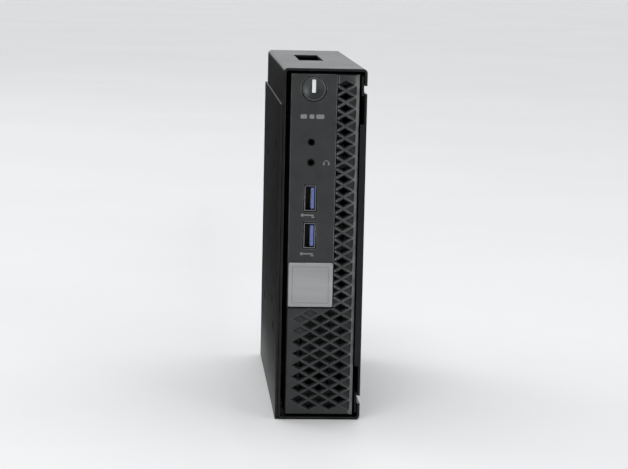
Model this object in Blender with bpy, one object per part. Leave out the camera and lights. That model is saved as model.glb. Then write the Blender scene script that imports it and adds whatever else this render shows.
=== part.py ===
"""A micro desktop computer standing in the steel sleeve that holds it between a display and its arm.

Metres, +Z up. The computer's front looks along -Y. The origin is in the middle of the outline's underside.
The left side, -X, meets the display and holds the computer's base. The right side, +X, meets the arm.
Sleeve pieces are measured from the sleeve's front lower left corner, computer pieces from the computer's.
"""

import math

import bmesh
import bpy
from mathutils import Matrix, Vector

# Gaps between neighbours
GAP = 0.0003
PORT_GAP = 0.0005

# Room for the computer in its sleeve
SIDE_ROOM = 0.0027
TOP_ROOM = 0.0017
FRONT_ROOM = 0.0010
PAD_THICKNESS = 0.0007

# Sleeve
SLEEVE_SHEET = 0.0013
SLEEVE_BEND = 0.0010
RETURN_HEIGHT = 0.0089
RETURN_NOTCH = 0.0042
TONGUE_REACH = 0.0095
FLANGE_INSET = 0.0160
WINDOW_WIDTH = 0.0136
WINDOW_LENGTH = 0.056
WINDOW_FROM_LEFT = 0.0124
WINDOW_FROM_FRONT = 0.072
TAB_WIDTH = 0.016
TAB_DROP = 0.0145
STOP_RISE = 0.0060
PAD_LENGTH = 0.012
PAD_INSET = 0.014
DISPLAY_PLATE_SHEET = 0.0011
DISPLAY_PLATE_SHORT = 0.0190
VESA_LARGE = 0.100
VESA_SMALL = 0.075
VESA_HOLE = 0.0025
SCREW_SPACING = 0.120
SCREW_RADIUS = 0.0012
SCREW_HEAD = 0.0024

# Computer case
COMPUTER_WIDTH = 0.036
COMPUTER_DEPTH = 0.178
COMPUTER_HEIGHT = 0.182
SHEET = 0.0010
COVER_GUIDE = 0.0060
COVER_TRAVEL = 0.012
COVER_TAB = 0.016
COVER_TAB_REACH = 0.0115
FOOT_RADIUS = 0.0045
FOOT_INSET = 0.020

# Front mouldings, with drops measured from the computer's top
BEZEL_DEPTH = 0.0060
BEZEL_FACE = 0.0022
BEZEL_WALL = 0.0012
STRIP_WIDTH = 0.0117
PORT_OFFSET = 0.00095  # from the port panel's middle to the left
UPPER_JACK_DROP = 0.0360
LOWER_JACK_DROP = 0.0467
UPPER_USB_DROP = 0.0656
LOWER_USB_DROP = 0.0855
JACK_RADIUS = 0.00175
BADGE_DROP = 0.1000
BADGE_MARGIN = 0.0004
BADGE_THICKNESS = 0.0006

# Power button
BUTTON_OFFSET = 0.00015  # from the port panel's middle to the left
BUTTON_RADIUS = 0.0063
BUTTON_MARGIN = 0.0016
BUTTON_TRAVEL = 0.0012
LIGHT_WIDTH = 0.0020
LIGHT_HEIGHT = 0.0070
LIGHT_DEPTH = 0.0010
LIGHT_RISE = 0.0015

# Diamond vents
VENT_ROWS = 28
VENT_FIRST_DROP = 0.0055
VENT_LAST_RISE = 0.0079
VENT_COLUMN_INSET = 0.0072
VENT_PITCH = 0.0054
VENT_HALF_WIDTH = 0.0029
VENT_HALF_HEIGHT = 0.0018
VENT_BAR = 0.0009
VENT_TAPER = 0.0013
VENT_BLIND = 0.0006

# USB type A sockets
USB_LONG = 0.0136
USB_SHORT = 0.0062
USB_WALL = 0.0005
USB_LENGTH = 0.0170
USB_CAVITY = 0.0130
USB_FACE = 0.0005
TONGUE_LONG = 0.0112
TONGUE_SHORT = 0.0019
TONGUE_SPACE = 0.0004

# Main board and what stands on it
BOARD_THICKNESS = 0.0016
BOARD_MARGIN = 0.0030
BOARD_SCREW = 0.0013
BOARD_SCREW_HEAD = 0.00275
POST_RADIUS = 0.0030
POST_INSET = 0.0080
REAR_SOCKET_ROOM = 0.0200
REAR_USB_WIDTH = 0.0148
BLOWER_SHARE = 0.388
BLOWER_LIFT = 0.0017
BLOWER_SHORT = 0.0045
BLOWER_WALL = 0.0012
BLOWER_LOW = 0.0100
ROTOR_ROOM = 0.0012
ROTOR_BLADES = 21
SHAFT_RADIUS = 0.0020
SINK_FINS = 18
FIN_THICKNESS = 0.0010
CADDY_WALL = 0.0014

# Screws turned by hand
THUMB_HEAD_RADIUS = 0.0045
THUMB_HEAD_LENGTH = 0.0050
THUMB_SHANK = 0.0015
THUMB_REACH = 0.0045
THUMB_HOLE = 0.0019
THUMB_KNURLS = 20

# Worked out from the values above
SLEEVE_WIDTH = COMPUTER_WIDTH + 2 * (SIDE_ROOM + SLEEVE_SHEET)
SLEEVE_DEPTH = FRONT_ROOM + COMPUTER_DEPTH + GAP + SLEEVE_SHEET
FLOOR_ROOM = PAD_THICKNESS + 2 * GAP
SLEEVE_HEIGHT = COMPUTER_HEIGHT + FLOOR_ROOM + TOP_ROOM + 2 * SLEEVE_SHEET
DISPLAY_SIDE = GAP + DISPLAY_PLATE_SHEET
OVERALL_DEPTH = SLEEVE_DEPTH + GAP + THUMB_HEAD_LENGTH
SLEEVE_CORNER = ((DISPLAY_SIDE - SLEEVE_WIDTH) / 2, -OVERALL_DEPTH / 2, 0)
COMPUTER_CORNER = (SLEEVE_SHEET + SIDE_ROOM, FRONT_ROOM, SLEEVE_SHEET + FLOOR_ROOM)
CASE_FRONT = BEZEL_DEPTH + GAP
CASE_REAR = COMPUTER_DEPTH
COVER_LEFT = COMPUTER_WIDTH - SHEET
PANEL_WIDTH = COMPUTER_WIDTH - STRIP_WIDTH
PORT_LINE = PANEL_WIDTH / 2 - PORT_OFFSET
BADGE_SIDE = PANEL_WIDTH - 2 * BADGE_MARGIN
PANEL_LOW = COMPUTER_HEIGHT - BADGE_DROP - BADGE_SIDE - GAP
BUTTON_LINE = PANEL_WIDTH / 2 - BUTTON_OFFSET
BUTTON_HEIGHT = COMPUTER_HEIGHT - BUTTON_RADIUS - BUTTON_MARGIN
BUTTON_END = CASE_FRONT + 0.0027
BOARD_FACE = PORT_LINE - USB_SHORT / 2 - GAP
ON_BOARD = BOARD_FACE + GAP
HEADROOM = COVER_LEFT - BOARD_FACE
ZONE_FRONT = USB_FACE + USB_LENGTH + 0.0010
ZONE_REAR = CASE_REAR - REAR_SOCKET_ROOM
ZONE_LOW = 0.0060
ZONE_HIGH = COMPUTER_HEIGHT - ZONE_LOW
BLOWER_SIDE = BLOWER_SHARE * (ZONE_HIGH - ZONE_LOW)
BLOWER_NEAR = BOARD_FACE + BLOWER_LIFT
BLOWER_FAR = COMPUTER_WIDTH - BLOWER_SHORT
ROTOR_CENTRE = (ZONE_FRONT + BLOWER_SIDE / 2, BLOWER_LOW + BLOWER_SIDE / 2)
ROTOR_RADIUS = 0.43 * BLOWER_SIDE
SINK_FRONT = ZONE_FRONT + BLOWER_SIDE + PORT_GAP
SINK_LENGTH = 0.88 * (ZONE_REAR - SINK_FRONT)

FINISHES = {
    "sleeve_steel": ((0.012, 0.012, 0.014), 0.45, 0.0),
    "case_steel": ((0.016, 0.016, 0.018), 0.50, 0.0),
    "bezel_plastic": ((0.030, 0.033, 0.034), 0.55, 0.0),
    "badge_metal": ((0.42, 0.42, 0.42), 0.35, 0.9),
    "socket_metal": ((0.55, 0.55, 0.56), 0.30, 1.0),
    "usb_blue": ((0.02, 0.06, 0.45), 0.45, 0.0),
    "socket_plastic": ((0.010, 0.010, 0.010), 0.50, 0.0),
    "button_plastic": ((0.035, 0.037, 0.040), 0.40, 0.0),
    "light_clear": ((0.90, 0.92, 0.95), 0.20, 0.0),
    "rubber": ((0.012, 0.012, 0.012), 0.85, 0.0),
    "board_green": ((0.01, 0.09, 0.04), 0.50, 0.0),
    "chip_black": ((0.02, 0.02, 0.02), 0.45, 0.0),
    "bare_aluminium": ((0.62, 0.62, 0.63), 0.35, 1.0),
    "zinc_steel": ((0.50, 0.50, 0.50), 0.40, 1.0),
    "black_screw": ((0.03, 0.03, 0.03), 0.35, 0.6),
    "caddy_blue": ((0.02, 0.10, 0.35), 0.50, 0.0),
}


# Shapes: each function returns a closed mesh


def finished(edit):
    """The edited mesh as mesh data, with its faces turned outwards."""
    bmesh.ops.recalc_face_normals(edit, faces=edit.faces[:])
    mesh = bpy.data.meshes.new("shape")
    edit.to_mesh(mesh)
    edit.free()
    return mesh


def prism(outline, axis, start, end):
    """An outline swept along X, Y or Z. Its points hold the other two coordinates, in X, Y, Z order."""
    place = {
        "X": lambda a, b, along: (along, a, b),
        "Y": lambda a, b, along: (a, along, b),
        "Z": lambda a, b, along: (a, b, along),
    }[axis]
    edit = bmesh.new()
    near = [edit.verts.new(place(a, b, start)) for a, b in outline]
    far = [edit.verts.new(place(a, b, end)) for a, b in outline]
    edit.faces.new(near)
    edit.faces.new(list(reversed(far)))
    for i in range(len(outline)):
        j = (i + 1) % len(outline)
        edit.faces.new((near[j], near[i], far[i], far[j]))
    return finished(edit)


def box(low, high):
    """A block between two corners."""
    outline = [(low[0], low[1]), (high[0], low[1]), (high[0], high[1]), (low[0], high[1])]
    return prism(outline, "Z", low[2], high[2])


def circle(centre, radius, sides):
    """Points round a circle."""
    turns = [2 * math.pi * i / sides for i in range(sides)]
    return [(centre[0] + radius * math.cos(t), centre[1] + radius * math.sin(t)) for t in turns]


def bar(centre, radius, axis, start, end, sides=20):
    """A round bar along an axis."""
    return prism(circle(centre, radius, sides), axis, start, end)


def rounded(low, high, radius, corners=(0, 1, 2, 3), steps=5):
    """A rectangle's outline with its chosen corners round, counted from the highest towards its left."""
    points = []
    for corner in range(4):
        right = corner in (0, 3)
        upper = corner in (0, 1)
        reach = radius if corner in corners else 0
        a = high[0] - reach if right else low[0] + reach
        b = high[1] - reach if upper else low[1] + reach
        for i in range(steps + 1 if reach else 1):
            turn = math.pi / 2 * (corner + i / steps)
            points.append((a + reach * math.cos(turn), b + reach * math.sin(turn)))
    return points


def turned(profile, centre, axis, sides=20):
    """A profile of (radius, place along the axis) spun round an axis. It starts and ends on the axis."""
    place = {
        "X": lambda r, s, t: (s, centre[0] + r * math.cos(t), centre[1] + r * math.sin(t)),
        "Y": lambda r, s, t: (centre[0] + r * math.cos(t), s, centre[1] + r * math.sin(t)),
    }[axis]
    turns = [2 * math.pi * i / sides for i in range(sides)]
    edit = bmesh.new()
    rings = [[edit.verts.new(place(r, s, t)) for t in (turns if r else [0])] for r, s in profile]
    for one, other in zip(rings, rings[1:]):
        for i in range(sides):
            j = (i + 1) % sides
            corners = [one[i % len(one)], one[j % len(one)], other[j % len(other)], other[i % len(other)]]
            edit.faces.new(list(dict.fromkeys(corners)))
    return finished(edit)


def folded(path, thickness, bend, steps=5):
    """The outline of a sheet folded at right angles along its middle line, all bends alike."""
    radius = bend + thickness / 2
    middle = [Vector(path[0])]
    for before, corner, after in zip(path, path[1:], path[2:]):
        arrive = (Vector(corner) - Vector(before)).normalized()
        leave = (Vector(after) - Vector(corner)).normalized()
        centre = Vector(corner) + (leave - arrive) * radius
        for i in range(steps + 1):
            turn = math.pi / 2 * i / steps
            middle.append(centre - leave * radius * math.cos(turn) + arrive * radius * math.sin(turn))
    middle.append(Vector(path[-1]))
    left = []
    right = []
    for i, point in enumerate(middle):
        along = (middle[min(i + 1, len(middle) - 1)] - middle[max(i - 1, 0)]).normalized()
        across = Vector((-along.y, along.x)) * thickness / 2
        left.append(tuple(point + across))
        right.append(tuple(point - across))
    return left + right[::-1]


def together(meshes):
    """Shapes that don't touch each other, as one mesh, so that one Boolean takes them all."""
    edit = bmesh.new()
    for mesh in meshes:
        edit.from_mesh(mesh)
        bpy.data.meshes.remove(mesh)
    return finished(edit)


# Objects


def finish_of(name):
    """A named finish as a Principled material, made once."""
    if name in bpy.data.materials:
        return bpy.data.materials[name]
    colour, roughness, metallic = FINISHES[name]
    material = bpy.data.materials.new(name)
    material.use_nodes = True
    shader = material.node_tree.nodes["Principled BSDF"]
    shader.inputs["Base Color"].default_value = (*colour, 1.0)
    shader.inputs["Roughness"].default_value = roughness
    shader.inputs["Metallic"].default_value = metallic
    return material


def apply_boolean(obj, operation, mesh):
    """Adds a shape to an object or cuts it away, and keeps the result as the object's mesh."""
    tool = bpy.data.objects.new("tool", mesh)
    bpy.context.scene.collection.objects.link(tool)
    modifier = obj.modifiers.new("Boolean", "BOOLEAN")
    modifier.operation = operation
    modifier.solver = "EXACT"
    modifier.object = tool
    graph = bpy.context.evaluated_depsgraph_get()
    result = bpy.data.meshes.new_from_object(obj.evaluated_get(graph))
    obj.modifiers.clear()
    obj.data = result
    bpy.data.objects.remove(tool)


def piece(name, finish, parent, shape, steps=(), origin=(0, 0, 0)):
    """One named solid: a shape, then each step adds or cuts another, in order."""
    obj = bpy.data.objects.new(name, shape)
    bpy.context.scene.collection.objects.link(obj)
    for operation, mesh in steps:
        apply_boolean(obj, operation, mesh)
    obj.data.name = name
    obj.data.transform(Matrix.Translation(-Vector(origin)))
    obj.data.materials.clear()
    obj.data.materials.append(finish_of(finish))
    obj.data.shade_smooth()
    obj.data.set_sharp_from_angle(angle=math.radians(30))
    obj.parent = parent
    obj.location = origin


def add(*meshes):
    """A step that adds shapes. They don't touch each other."""
    return "UNION", together(meshes)


def cut(*meshes):
    """A step that cuts shapes away. They don't touch each other."""
    return "DIFFERENCE", together(meshes)


def corner_empty(name, place, parent=None):
    """An empty that the pieces of one assembly are measured from."""
    empty = bpy.data.objects.new(name, None)
    bpy.context.scene.collection.objects.link(empty)
    empty.location = place
    empty.parent = parent
    return empty


# Sleeve


def vesa_holes(spacing, start, end):
    """Four holes through a wall that stands across X, round the sleeve's middle."""
    y = SLEEVE_DEPTH / 2
    z = SLEEVE_HEIGHT / 2
    reach = spacing / 2
    corners = [(y + a * reach, z + b * reach) for a in (-1, 1) for b in (-1, 1)]
    return [bar(corner, VESA_HOLE, "X", start, end, 16) for corner in corners]


def all_vesa_holes(start, end):
    """The holes of both patterns."""
    return vesa_holes(VESA_LARGE, start, end) + vesa_holes(VESA_SMALL, start, end)


def sleeve_screw_places():
    """(depth, height) of the four screws through the return flanges."""
    y = SLEEVE_DEPTH / 2
    z = (RETURN_HEIGHT + SLEEVE_SHEET + SLEEVE_BEND) / 2
    return [(y + a * SCREW_SPACING / 2, b) for b in (z, SLEEVE_HEIGHT - z) for a in (-1, 1)]


def sleeve_thumb_place():
    """(from the left, height) of the screw that holds the computer, in the sleeve's measure."""
    return SLEEVE_WIDTH / 2, SLEEVE_HEIGHT - SLEEVE_SHEET - TAB_DROP / 2


def sleeve_screw_seat(y, z):
    """The cutter for one countersunk hole through a return flange."""
    outer = SLEEVE_WIDTH
    profile = [
        (0, outer - 2 * SLEEVE_SHEET),
        (SCREW_RADIUS + GAP, outer - 2 * SLEEVE_SHEET),
        (SCREW_RADIUS + GAP, outer - SLEEVE_SHEET + GAP),
        (SCREW_HEAD + GAP, outer),
        (SCREW_HEAD + GAP, outer + SLEEVE_SHEET),
        (0, outer + SLEEVE_SHEET),
    ]
    return turned(profile, (y, z), "X")


def make_sleeve_wrap(parent):
    """The folded channel: left wall, top, floor, and a short return at each edge of its open right side."""
    half = SLEEVE_SHEET / 2
    right = SLEEVE_WIDTH - half
    top = SLEEVE_HEIGHT - half
    path = [
        (right, SLEEVE_HEIGHT - RETURN_HEIGHT),
        (right, top),
        (half, top),
        (half, half),
        (right, half),
        (right, RETURN_HEIGHT),
    ]
    channel = prism(folded(path, SLEEVE_SHEET, SLEEVE_BEND), "Y", 0, SLEEVE_DEPTH)
    left = (SLEEVE_WIDTH - TAB_WIDTH) / 2
    front = SLEEVE_DEPTH - SLEEVE_SHEET
    tab_low = SLEEVE_HEIGHT - SLEEVE_SHEET - TAB_DROP
    tab = box((left, front, tab_low), (left + TAB_WIDTH, SLEEVE_DEPTH, top))
    stop = box((left, front, half), (left + TAB_WIDTH, SLEEVE_DEPTH, STOP_RISE))
    window_right = WINDOW_FROM_LEFT + WINDOW_WIDTH
    window = box(
        (WINDOW_FROM_LEFT, WINDOW_FROM_FRONT, top - SLEEVE_SHEET),
        (window_right, WINDOW_FROM_FRONT + WINDOW_LENGTH, top + SLEEVE_SHEET),
    )
    seats = [sleeve_screw_seat(y, z) for y, z in sleeve_screw_places()]
    thumb = bar(sleeve_thumb_place(), THUMB_HOLE, "Y", front - SHEET, SLEEVE_DEPTH + SHEET)
    holes = all_vesa_holes(-SLEEVE_SHEET, 2 * SLEEVE_SHEET)
    steps = [add(tab, stop), cut(window, thumb, *seats), cut(*holes)]
    piece("sleeve_wrap", "sleeve_steel", parent, channel, steps)


def make_sleeve_plate(parent):
    """The screwed-on right wall, with a flange front and rear and a stepped tongue at each end."""
    outer = SLEEVE_WIDTH
    inner = outer - SLEEVE_SHEET
    half = SLEEVE_SHEET / 2
    rear = SLEEVE_DEPTH - SLEEVE_SHEET
    low = RETURN_HEIGHT + RETURN_NOTCH
    high = SLEEVE_HEIGHT - low
    wall = box((inner, 0, low), (outer, SLEEVE_DEPTH, high))
    flange_left = inner - SIDE_ROOM + 2 * GAP
    flanges = [
        box((flange_left, y, low + FLANGE_INSET), (inner + half, y + SLEEVE_SHEET, high - FLANGE_INSET))
        for y in (0, rear)
    ]
    tongue_right = inner - GAP
    tongue_left = tongue_right - SLEEVE_SHEET
    tongues = []
    steps = []
    for edge, way in ((low, -1), (high, 1)):
        root = edge - way * SLEEVE_SHEET
        ends = sorted((edge + way * TONGUE_REACH, root))
        tongues.append(box((tongue_left, SLEEVE_SHEET, ends[0]), (tongue_right, rear, ends[1])))
        ends = sorted((edge, root))
        steps.append(box((tongue_left + half, SLEEVE_SHEET, ends[0]), (inner + half, rear, ends[1])))
    taps = [
        bar(place, SCREW_RADIUS + GAP, "X", tongue_left - SHEET, tongue_right + GAP / 2, 16)
        for place in sleeve_screw_places()
    ]
    holes = all_vesa_holes(inner - SLEEVE_SHEET, outer + SLEEVE_SHEET)
    joined = [add(*flanges), add(*steps), add(*tongues), cut(*holes, *taps)]
    piece("sleeve_plate", "sleeve_steel", parent, wall, joined)


def make_display_plate(parent):
    """The flat plate on the sleeve's left wall that meets the back of the display."""
    left = -DISPLAY_SIDE
    plate = box((left, 0, 0), (-GAP, SLEEVE_DEPTH, SLEEVE_HEIGHT - DISPLAY_PLATE_SHORT))
    piece("display_plate", "sleeve_steel", parent, plate, [cut(*all_vesa_holes(left - SHEET, SHEET))])


def make_sleeve_screws(parent):
    """Four countersunk screws with their heads level with the sleeve's right side."""
    outer = SLEEVE_WIDTH
    top = outer - GAP / 2
    tip = outer - 2 * SLEEVE_SHEET - 2 * GAP
    for number, (y, z) in enumerate(sleeve_screw_places(), 1):
        profile = [
            (0, tip),
            (SCREW_RADIUS, tip),
            (SCREW_RADIUS, outer - SLEEVE_SHEET + GAP),
            (SCREW_HEAD, top),
            (0, top),
        ]
        long = SCREW_HEAD * 0.6
        thin = SCREW_HEAD * 0.15
        floor = outer - SLEEVE_SHEET / 2
        slot = box((floor, y - long, z - thin), (outer + SHEET, y + long, z + thin))
        cross = box((floor, y - thin, z - long), (outer + SHEET, y + thin, z + long))
        screw = turned(profile, (y, z), "X")
        piece(f"sleeve_screw_{number}", "black_screw", parent, screw, [cut(slot), cut(cross)])


def make_sleeve_pads(parent):
    """Two strips across the sleeve's floor that the computer slides on."""
    left = COMPUTER_CORNER[0]
    low = SLEEVE_SHEET + GAP
    for name, front in (("front", PAD_INSET), ("rear", SLEEVE_DEPTH - PAD_INSET - PAD_LENGTH)):
        pad = box((left, front, low), (left + COMPUTER_WIDTH, front + PAD_LENGTH, low + PAD_THICKNESS))
        piece(f"sleeve_pad_{name}", "rubber", parent, pad)


def make_thumbscrew(name, parent, centre, seat):
    """A knurled screw turned by hand. Its axis is Y and its head stands behind the seat."""
    head = seat + GAP
    end = head + THUMB_HEAD_LENGTH
    knurled = []
    for i in range(2 * THUMB_KNURLS):
        radius = THUMB_HEAD_RADIUS * (1.0 if i % 2 else 0.93)
        turn = math.pi * i / THUMB_KNURLS
        knurled.append((centre[0] + radius * math.cos(turn), centre[1] + radius * math.sin(turn)))
    shank = bar(centre, THUMB_SHANK, "Y", seat - THUMB_REACH, head + THUMB_HEAD_LENGTH / 2)
    long = THUMB_HEAD_RADIUS * 0.7
    thin = THUMB_SHANK / 2
    slot = box(
        (centre[0] - long, end - THUMB_HEAD_LENGTH / 4, centre[1] - thin),
        (centre[0] + long, end + THUMB_HEAD_LENGTH / 4, centre[1] + thin),
    )
    origin = (centre[0], seat, centre[1])
    piece(name, "black_screw", parent, prism(knurled, "Y", head, end), [add(shank), cut(slot)], origin)


# Computer case


def rear_sockets():
    """Each socket in the rear panel: name, middle height, right side, and length along Z."""
    return [
        ("power_inlet", 0.857 * COMPUTER_HEIGHT, ON_BOARD + 0.0105, 0.0105),
        ("usb_rear_upper", 0.753 * COMPUTER_HEIGHT, ON_BOARD + REAR_USB_WIDTH, 0.0140),
        ("usb_rear_lower", 0.648 * COMPUTER_HEIGHT, ON_BOARD + REAR_USB_WIDTH, 0.0140),
        ("network_socket", 0.385 * COMPUTER_HEIGHT, ON_BOARD + 0.0135, 0.0160),
        ("display_socket_upper", 0.270 * COMPUTER_HEIGHT, ON_BOARD + 0.0062, 0.0170),
        ("display_socket_lower", 0.150 * COMPUTER_HEIGHT, ON_BOARD + 0.0062, 0.0170),
    ]


def board_post_places():
    """(depth, height) of the four posts that carry the main board."""
    depths = (ZONE_FRONT + 0.0015, CASE_REAR - POST_INSET - SHEET)
    heights = (POST_INSET, COMPUTER_HEIGHT - POST_INSET)
    return [(y, z) for y in depths for z in heights]


def cover_thumb_place():
    """(from the left, height) of the screw in the cover's rear tab."""
    return COMPUTER_WIDTH - (COVER_TAB_REACH + SHEET) / 2, COMPUTER_HEIGHT / 2


def usb_openings(start, end):
    """Cutters for the two front USB sockets."""
    x = USB_SHORT / 2 + PORT_GAP
    reach = USB_LONG / 2 + PORT_GAP
    heights = [COMPUTER_HEIGHT - drop for drop in (UPPER_USB_DROP, LOWER_USB_DROP)]
    return [box((PORT_LINE - x, start, z - reach), (PORT_LINE + x, end, z + reach)) for z in heights]


def jack_openings(radius, start, end):
    """Cutters for the two audio jacks."""
    heights = [COMPUTER_HEIGHT - drop for drop in (UPPER_JACK_DROP, LOWER_JACK_DROP)]
    return [bar((PORT_LINE, z), radius, "Y", start, end) for z in heights]


def front_openings():
    """Cutters through the case's front wall, behind the button, the sockets and the vents."""
    start = CASE_FRONT - SHEET
    end = CASE_FRONT + 2 * SHEET
    cuts = usb_openings(start, end) + jack_openings(0.0036, start, end)
    cuts.append(bar((BUTTON_LINE, BUTTON_HEIGHT), 0.0032, "Y", start, end))
    left = PANEL_WIDTH + BEZEL_WALL + SHEET
    right = COMPUTER_WIDTH - BEZEL_WALL - 2 * SHEET
    for i in range(4):
        low = (0.035 + 0.242 * i) * COMPUTER_HEIGHT
        cuts.append(box((left, start, low), (right, end, low + 0.205 * COMPUTER_HEIGHT)))
    for i in range(2):
        low = 2 * ZONE_LOW + i * PANEL_LOW * 0.42
        cuts.append(box((4 * SHEET, start, low), (PANEL_WIDTH - SHEET, end, low + PANEL_LOW * 0.36)))
    return cuts


def rear_openings():
    """Cutters through the rear panel, for the sockets, the vents, a lock slot and two screws."""
    start = CASE_REAR - 2 * SHEET
    end = CASE_REAR + SHEET
    cuts = []
    for _, z, right, length in rear_sockets():
        reach = length / 2 + GAP
        cuts.append(box((ON_BOARD - GAP, start, z - reach), (right + GAP, end, z + reach)))
    right = COMPUTER_WIDTH - 0.0040
    left = max(right - 0.0070, ON_BOARD + REAR_USB_WIDTH + SHEET)
    for i in range(16):
        low = (0.070 + 0.023 * i) * COMPUTER_HEIGHT
        cuts.append(box((left, start, low), (right, end, low + 0.012 * COMPUTER_HEIGHT)))
    lock = 0.69 * COMPUTER_HEIGHT
    cuts.append(box((left, start, lock), (right, end, lock + 0.0030)))
    x, z = sleeve_thumb_place()
    cuts.append(bar((x - COMPUTER_CORNER[0], z - COMPUTER_CORNER[2]), THUMB_HOLE, "Y", start, end))
    cuts.append(bar(cover_thumb_place(), THUMB_HOLE, "Y", start, end))
    return cuts


def make_base_tray(parent):
    """The steel base: left wall, floor, top, front wall and rear panel, with four posts for the board."""
    case = box((0, CASE_FRONT, 0), (COVER_LEFT - GAP, CASE_REAR, COMPUTER_HEIGHT))
    inside = box(
        (SHEET, CASE_FRONT + SHEET, SHEET),
        (COMPUTER_WIDTH, CASE_REAR - SHEET, COMPUTER_HEIGHT - SHEET),
    )
    under = BOARD_FACE - BOARD_THICKNESS - GAP
    places = board_post_places()
    posts = [bar(place, POST_RADIUS, "X", SHEET / 2, under, 16) for place in places]
    holes = [bar(place, BOARD_SCREW + GAP, "X", 1.5 * SHEET, under + SHEET, 16) for place in places]
    steps = [cut(inside), cut(*front_openings()), cut(*rear_openings()), add(*posts), cut(*holes)]
    piece("base_tray", "case_steel", parent, case, steps)


def make_side_cover(parent):
    """The right side: a flat sheet with a guide along each edge and a tab for its screw at the rear."""
    sheet = box((COVER_LEFT, CASE_FRONT, 0), (COMPUTER_WIDTH, CASE_REAR, COMPUTER_HEIGHT))
    guide_front = CASE_FRONT + SHEET + GAP
    guide_rear = CASE_REAR - SHEET - GAP - COVER_TRAVEL
    guides = [
        box((COVER_LEFT - COVER_GUIDE, guide_front, z), (COVER_LEFT + SHEET / 2, guide_rear, z + SHEET))
        for z in (SHEET + GAP, COMPUTER_HEIGHT - 2 * SHEET - GAP)
    ]
    low = (COMPUTER_HEIGHT - COVER_TAB) / 2
    high = low + COVER_TAB
    front = CASE_REAR + GAP
    neck = box((COVER_LEFT, CASE_REAR - SHEET, low), (COMPUTER_WIDTH, front + SHEET, high))
    tab_left = COMPUTER_WIDTH - COVER_TAB_REACH
    tab = box((tab_left, front, low), (COMPUTER_WIDTH - SHEET / 2, front + SHEET, high))
    hole = bar(cover_thumb_place(), THUMB_HOLE, "Y", front - SHEET, front + 2 * SHEET)
    piece("side_cover", "case_steel", parent, sheet, [add(*guides), add(neck), add(tab), cut(hole)])


def make_feet(parent):
    """Four rubber feet on the base, which it stands on when it lies flat."""
    thickness = SIDE_ROOM - GAP - PORT_GAP
    right = -GAP
    left = right - thickness
    depths = (FOOT_INSET, COMPUTER_DEPTH - FOOT_INSET)
    heights = (FOOT_INSET, COMPUTER_HEIGHT - FOOT_INSET)
    for number, place in enumerate([(y, z) for y in depths for z in heights], 1):
        profile = [(0, right), (FOOT_RADIUS, right), (FOOT_RADIUS * 0.85, left), (0, left)]
        piece(f"foot_{number}", "rubber", parent, turned(profile, place, "X"))


# Computer front


def vent_row_pitch():
    """The height of one row of vents."""
    return (COMPUTER_HEIGHT - VENT_FIRST_DROP - VENT_LAST_RISE) / (VENT_ROWS - 1)


def vent_mouth():
    """Half the width and half the height of a vent on the face, leaving a thin bar all round."""
    a = VENT_PITCH
    b = vent_row_pitch() / 2
    share = 1 - VENT_BAR / 2 * math.hypot(a, b) / (a * b)
    return a * share, b * share


def vent_cutter(x, z, blind):
    """The cutter for one vent: a diamond mouth that narrows inwards, then a hole unless it is blind."""
    mouth = vent_mouth()
    throat = (VENT_HALF_WIDTH, VENT_HALF_HEIGHT)
    rings = [(mouth, -SHEET), (mouth, 0), (throat, VENT_BLIND if blind else VENT_TAPER)]
    if not blind:
        rings.append((throat, 2 * BEZEL_FACE))
    edit = bmesh.new()
    made = []
    for (a, b), y in rings:
        corners = ((x - a, z), (x, z - b), (x + a, z), (x, z + b))
        made.append([edit.verts.new((u, y, w)) for u, w in corners])
    edit.faces.new(made[0])
    edit.faces.new(made[-1])
    for one, other in zip(made, made[1:]):
        for i in range(4):
            j = (i + 1) % 4
            edit.faces.new((one[i], one[j], other[j], other[i]))
    return finished(edit)


def vent_places():
    """Every vent as (x, z, blind). Column 0 is the tall one, and odd columns stand half a row higher."""
    pitch = vent_row_pitch()
    tall = COMPUTER_WIDTH - VENT_COLUMN_INSET
    margin = vent_mouth()[1] + BEZEL_WALL / 2
    leftmost = int((tall - VENT_HALF_WIDTH - BEZEL_WALL) / VENT_PITCH)
    places = []
    for column in range(-1, leftmost + 1):
        x = tall - column * VENT_PITCH
        top = COMPUTER_HEIGHT if column < 2 else PANEL_LOW
        for row in range(VENT_ROWS + 1):
            z = VENT_LAST_RISE + (row - 0.5 * (column % 2)) * pitch
            beside_panel = column == 1 and z > PANEL_LOW - GAP - margin
            near_badge = column > 2 and z > PANEL_LOW - (column - 1.5) * pitch
            if margin < z < top - margin:
                places.append((x, z, column == -1 or beside_panel or near_badge))
    return places


def make_front_grille(parent):
    """The vented moulding: a strip up the right side and a field below the badge."""
    outline = [
        (0, 0),
        (COMPUTER_WIDTH, 0),
        (COMPUTER_WIDTH, COMPUTER_HEIGHT),
        (PANEL_WIDTH + GAP, COMPUTER_HEIGHT),
        (PANEL_WIDTH + GAP, PANEL_LOW - GAP),
        (0, PANEL_LOW - GAP),
    ]
    wall = BEZEL_WALL
    hollow = [
        (wall, wall),
        (COMPUTER_WIDTH - wall, wall),
        (COMPUTER_WIDTH - wall, COMPUTER_HEIGHT - wall),
        (PANEL_WIDTH + GAP + wall, COMPUTER_HEIGHT - wall),
        (PANEL_WIDTH + GAP + wall, PANEL_LOW - GAP - wall),
        (wall, PANEL_LOW - GAP - wall),
    ]
    vents = [vent_cutter(*place) for place in vent_places()]
    steps = [cut(prism(hollow, "Y", BEZEL_FACE, BEZEL_DEPTH + SHEET)), cut(*vents)]
    piece("front_grille", "bezel_plastic", parent, prism(outline, "Y", 0, BEZEL_DEPTH), steps)


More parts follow.
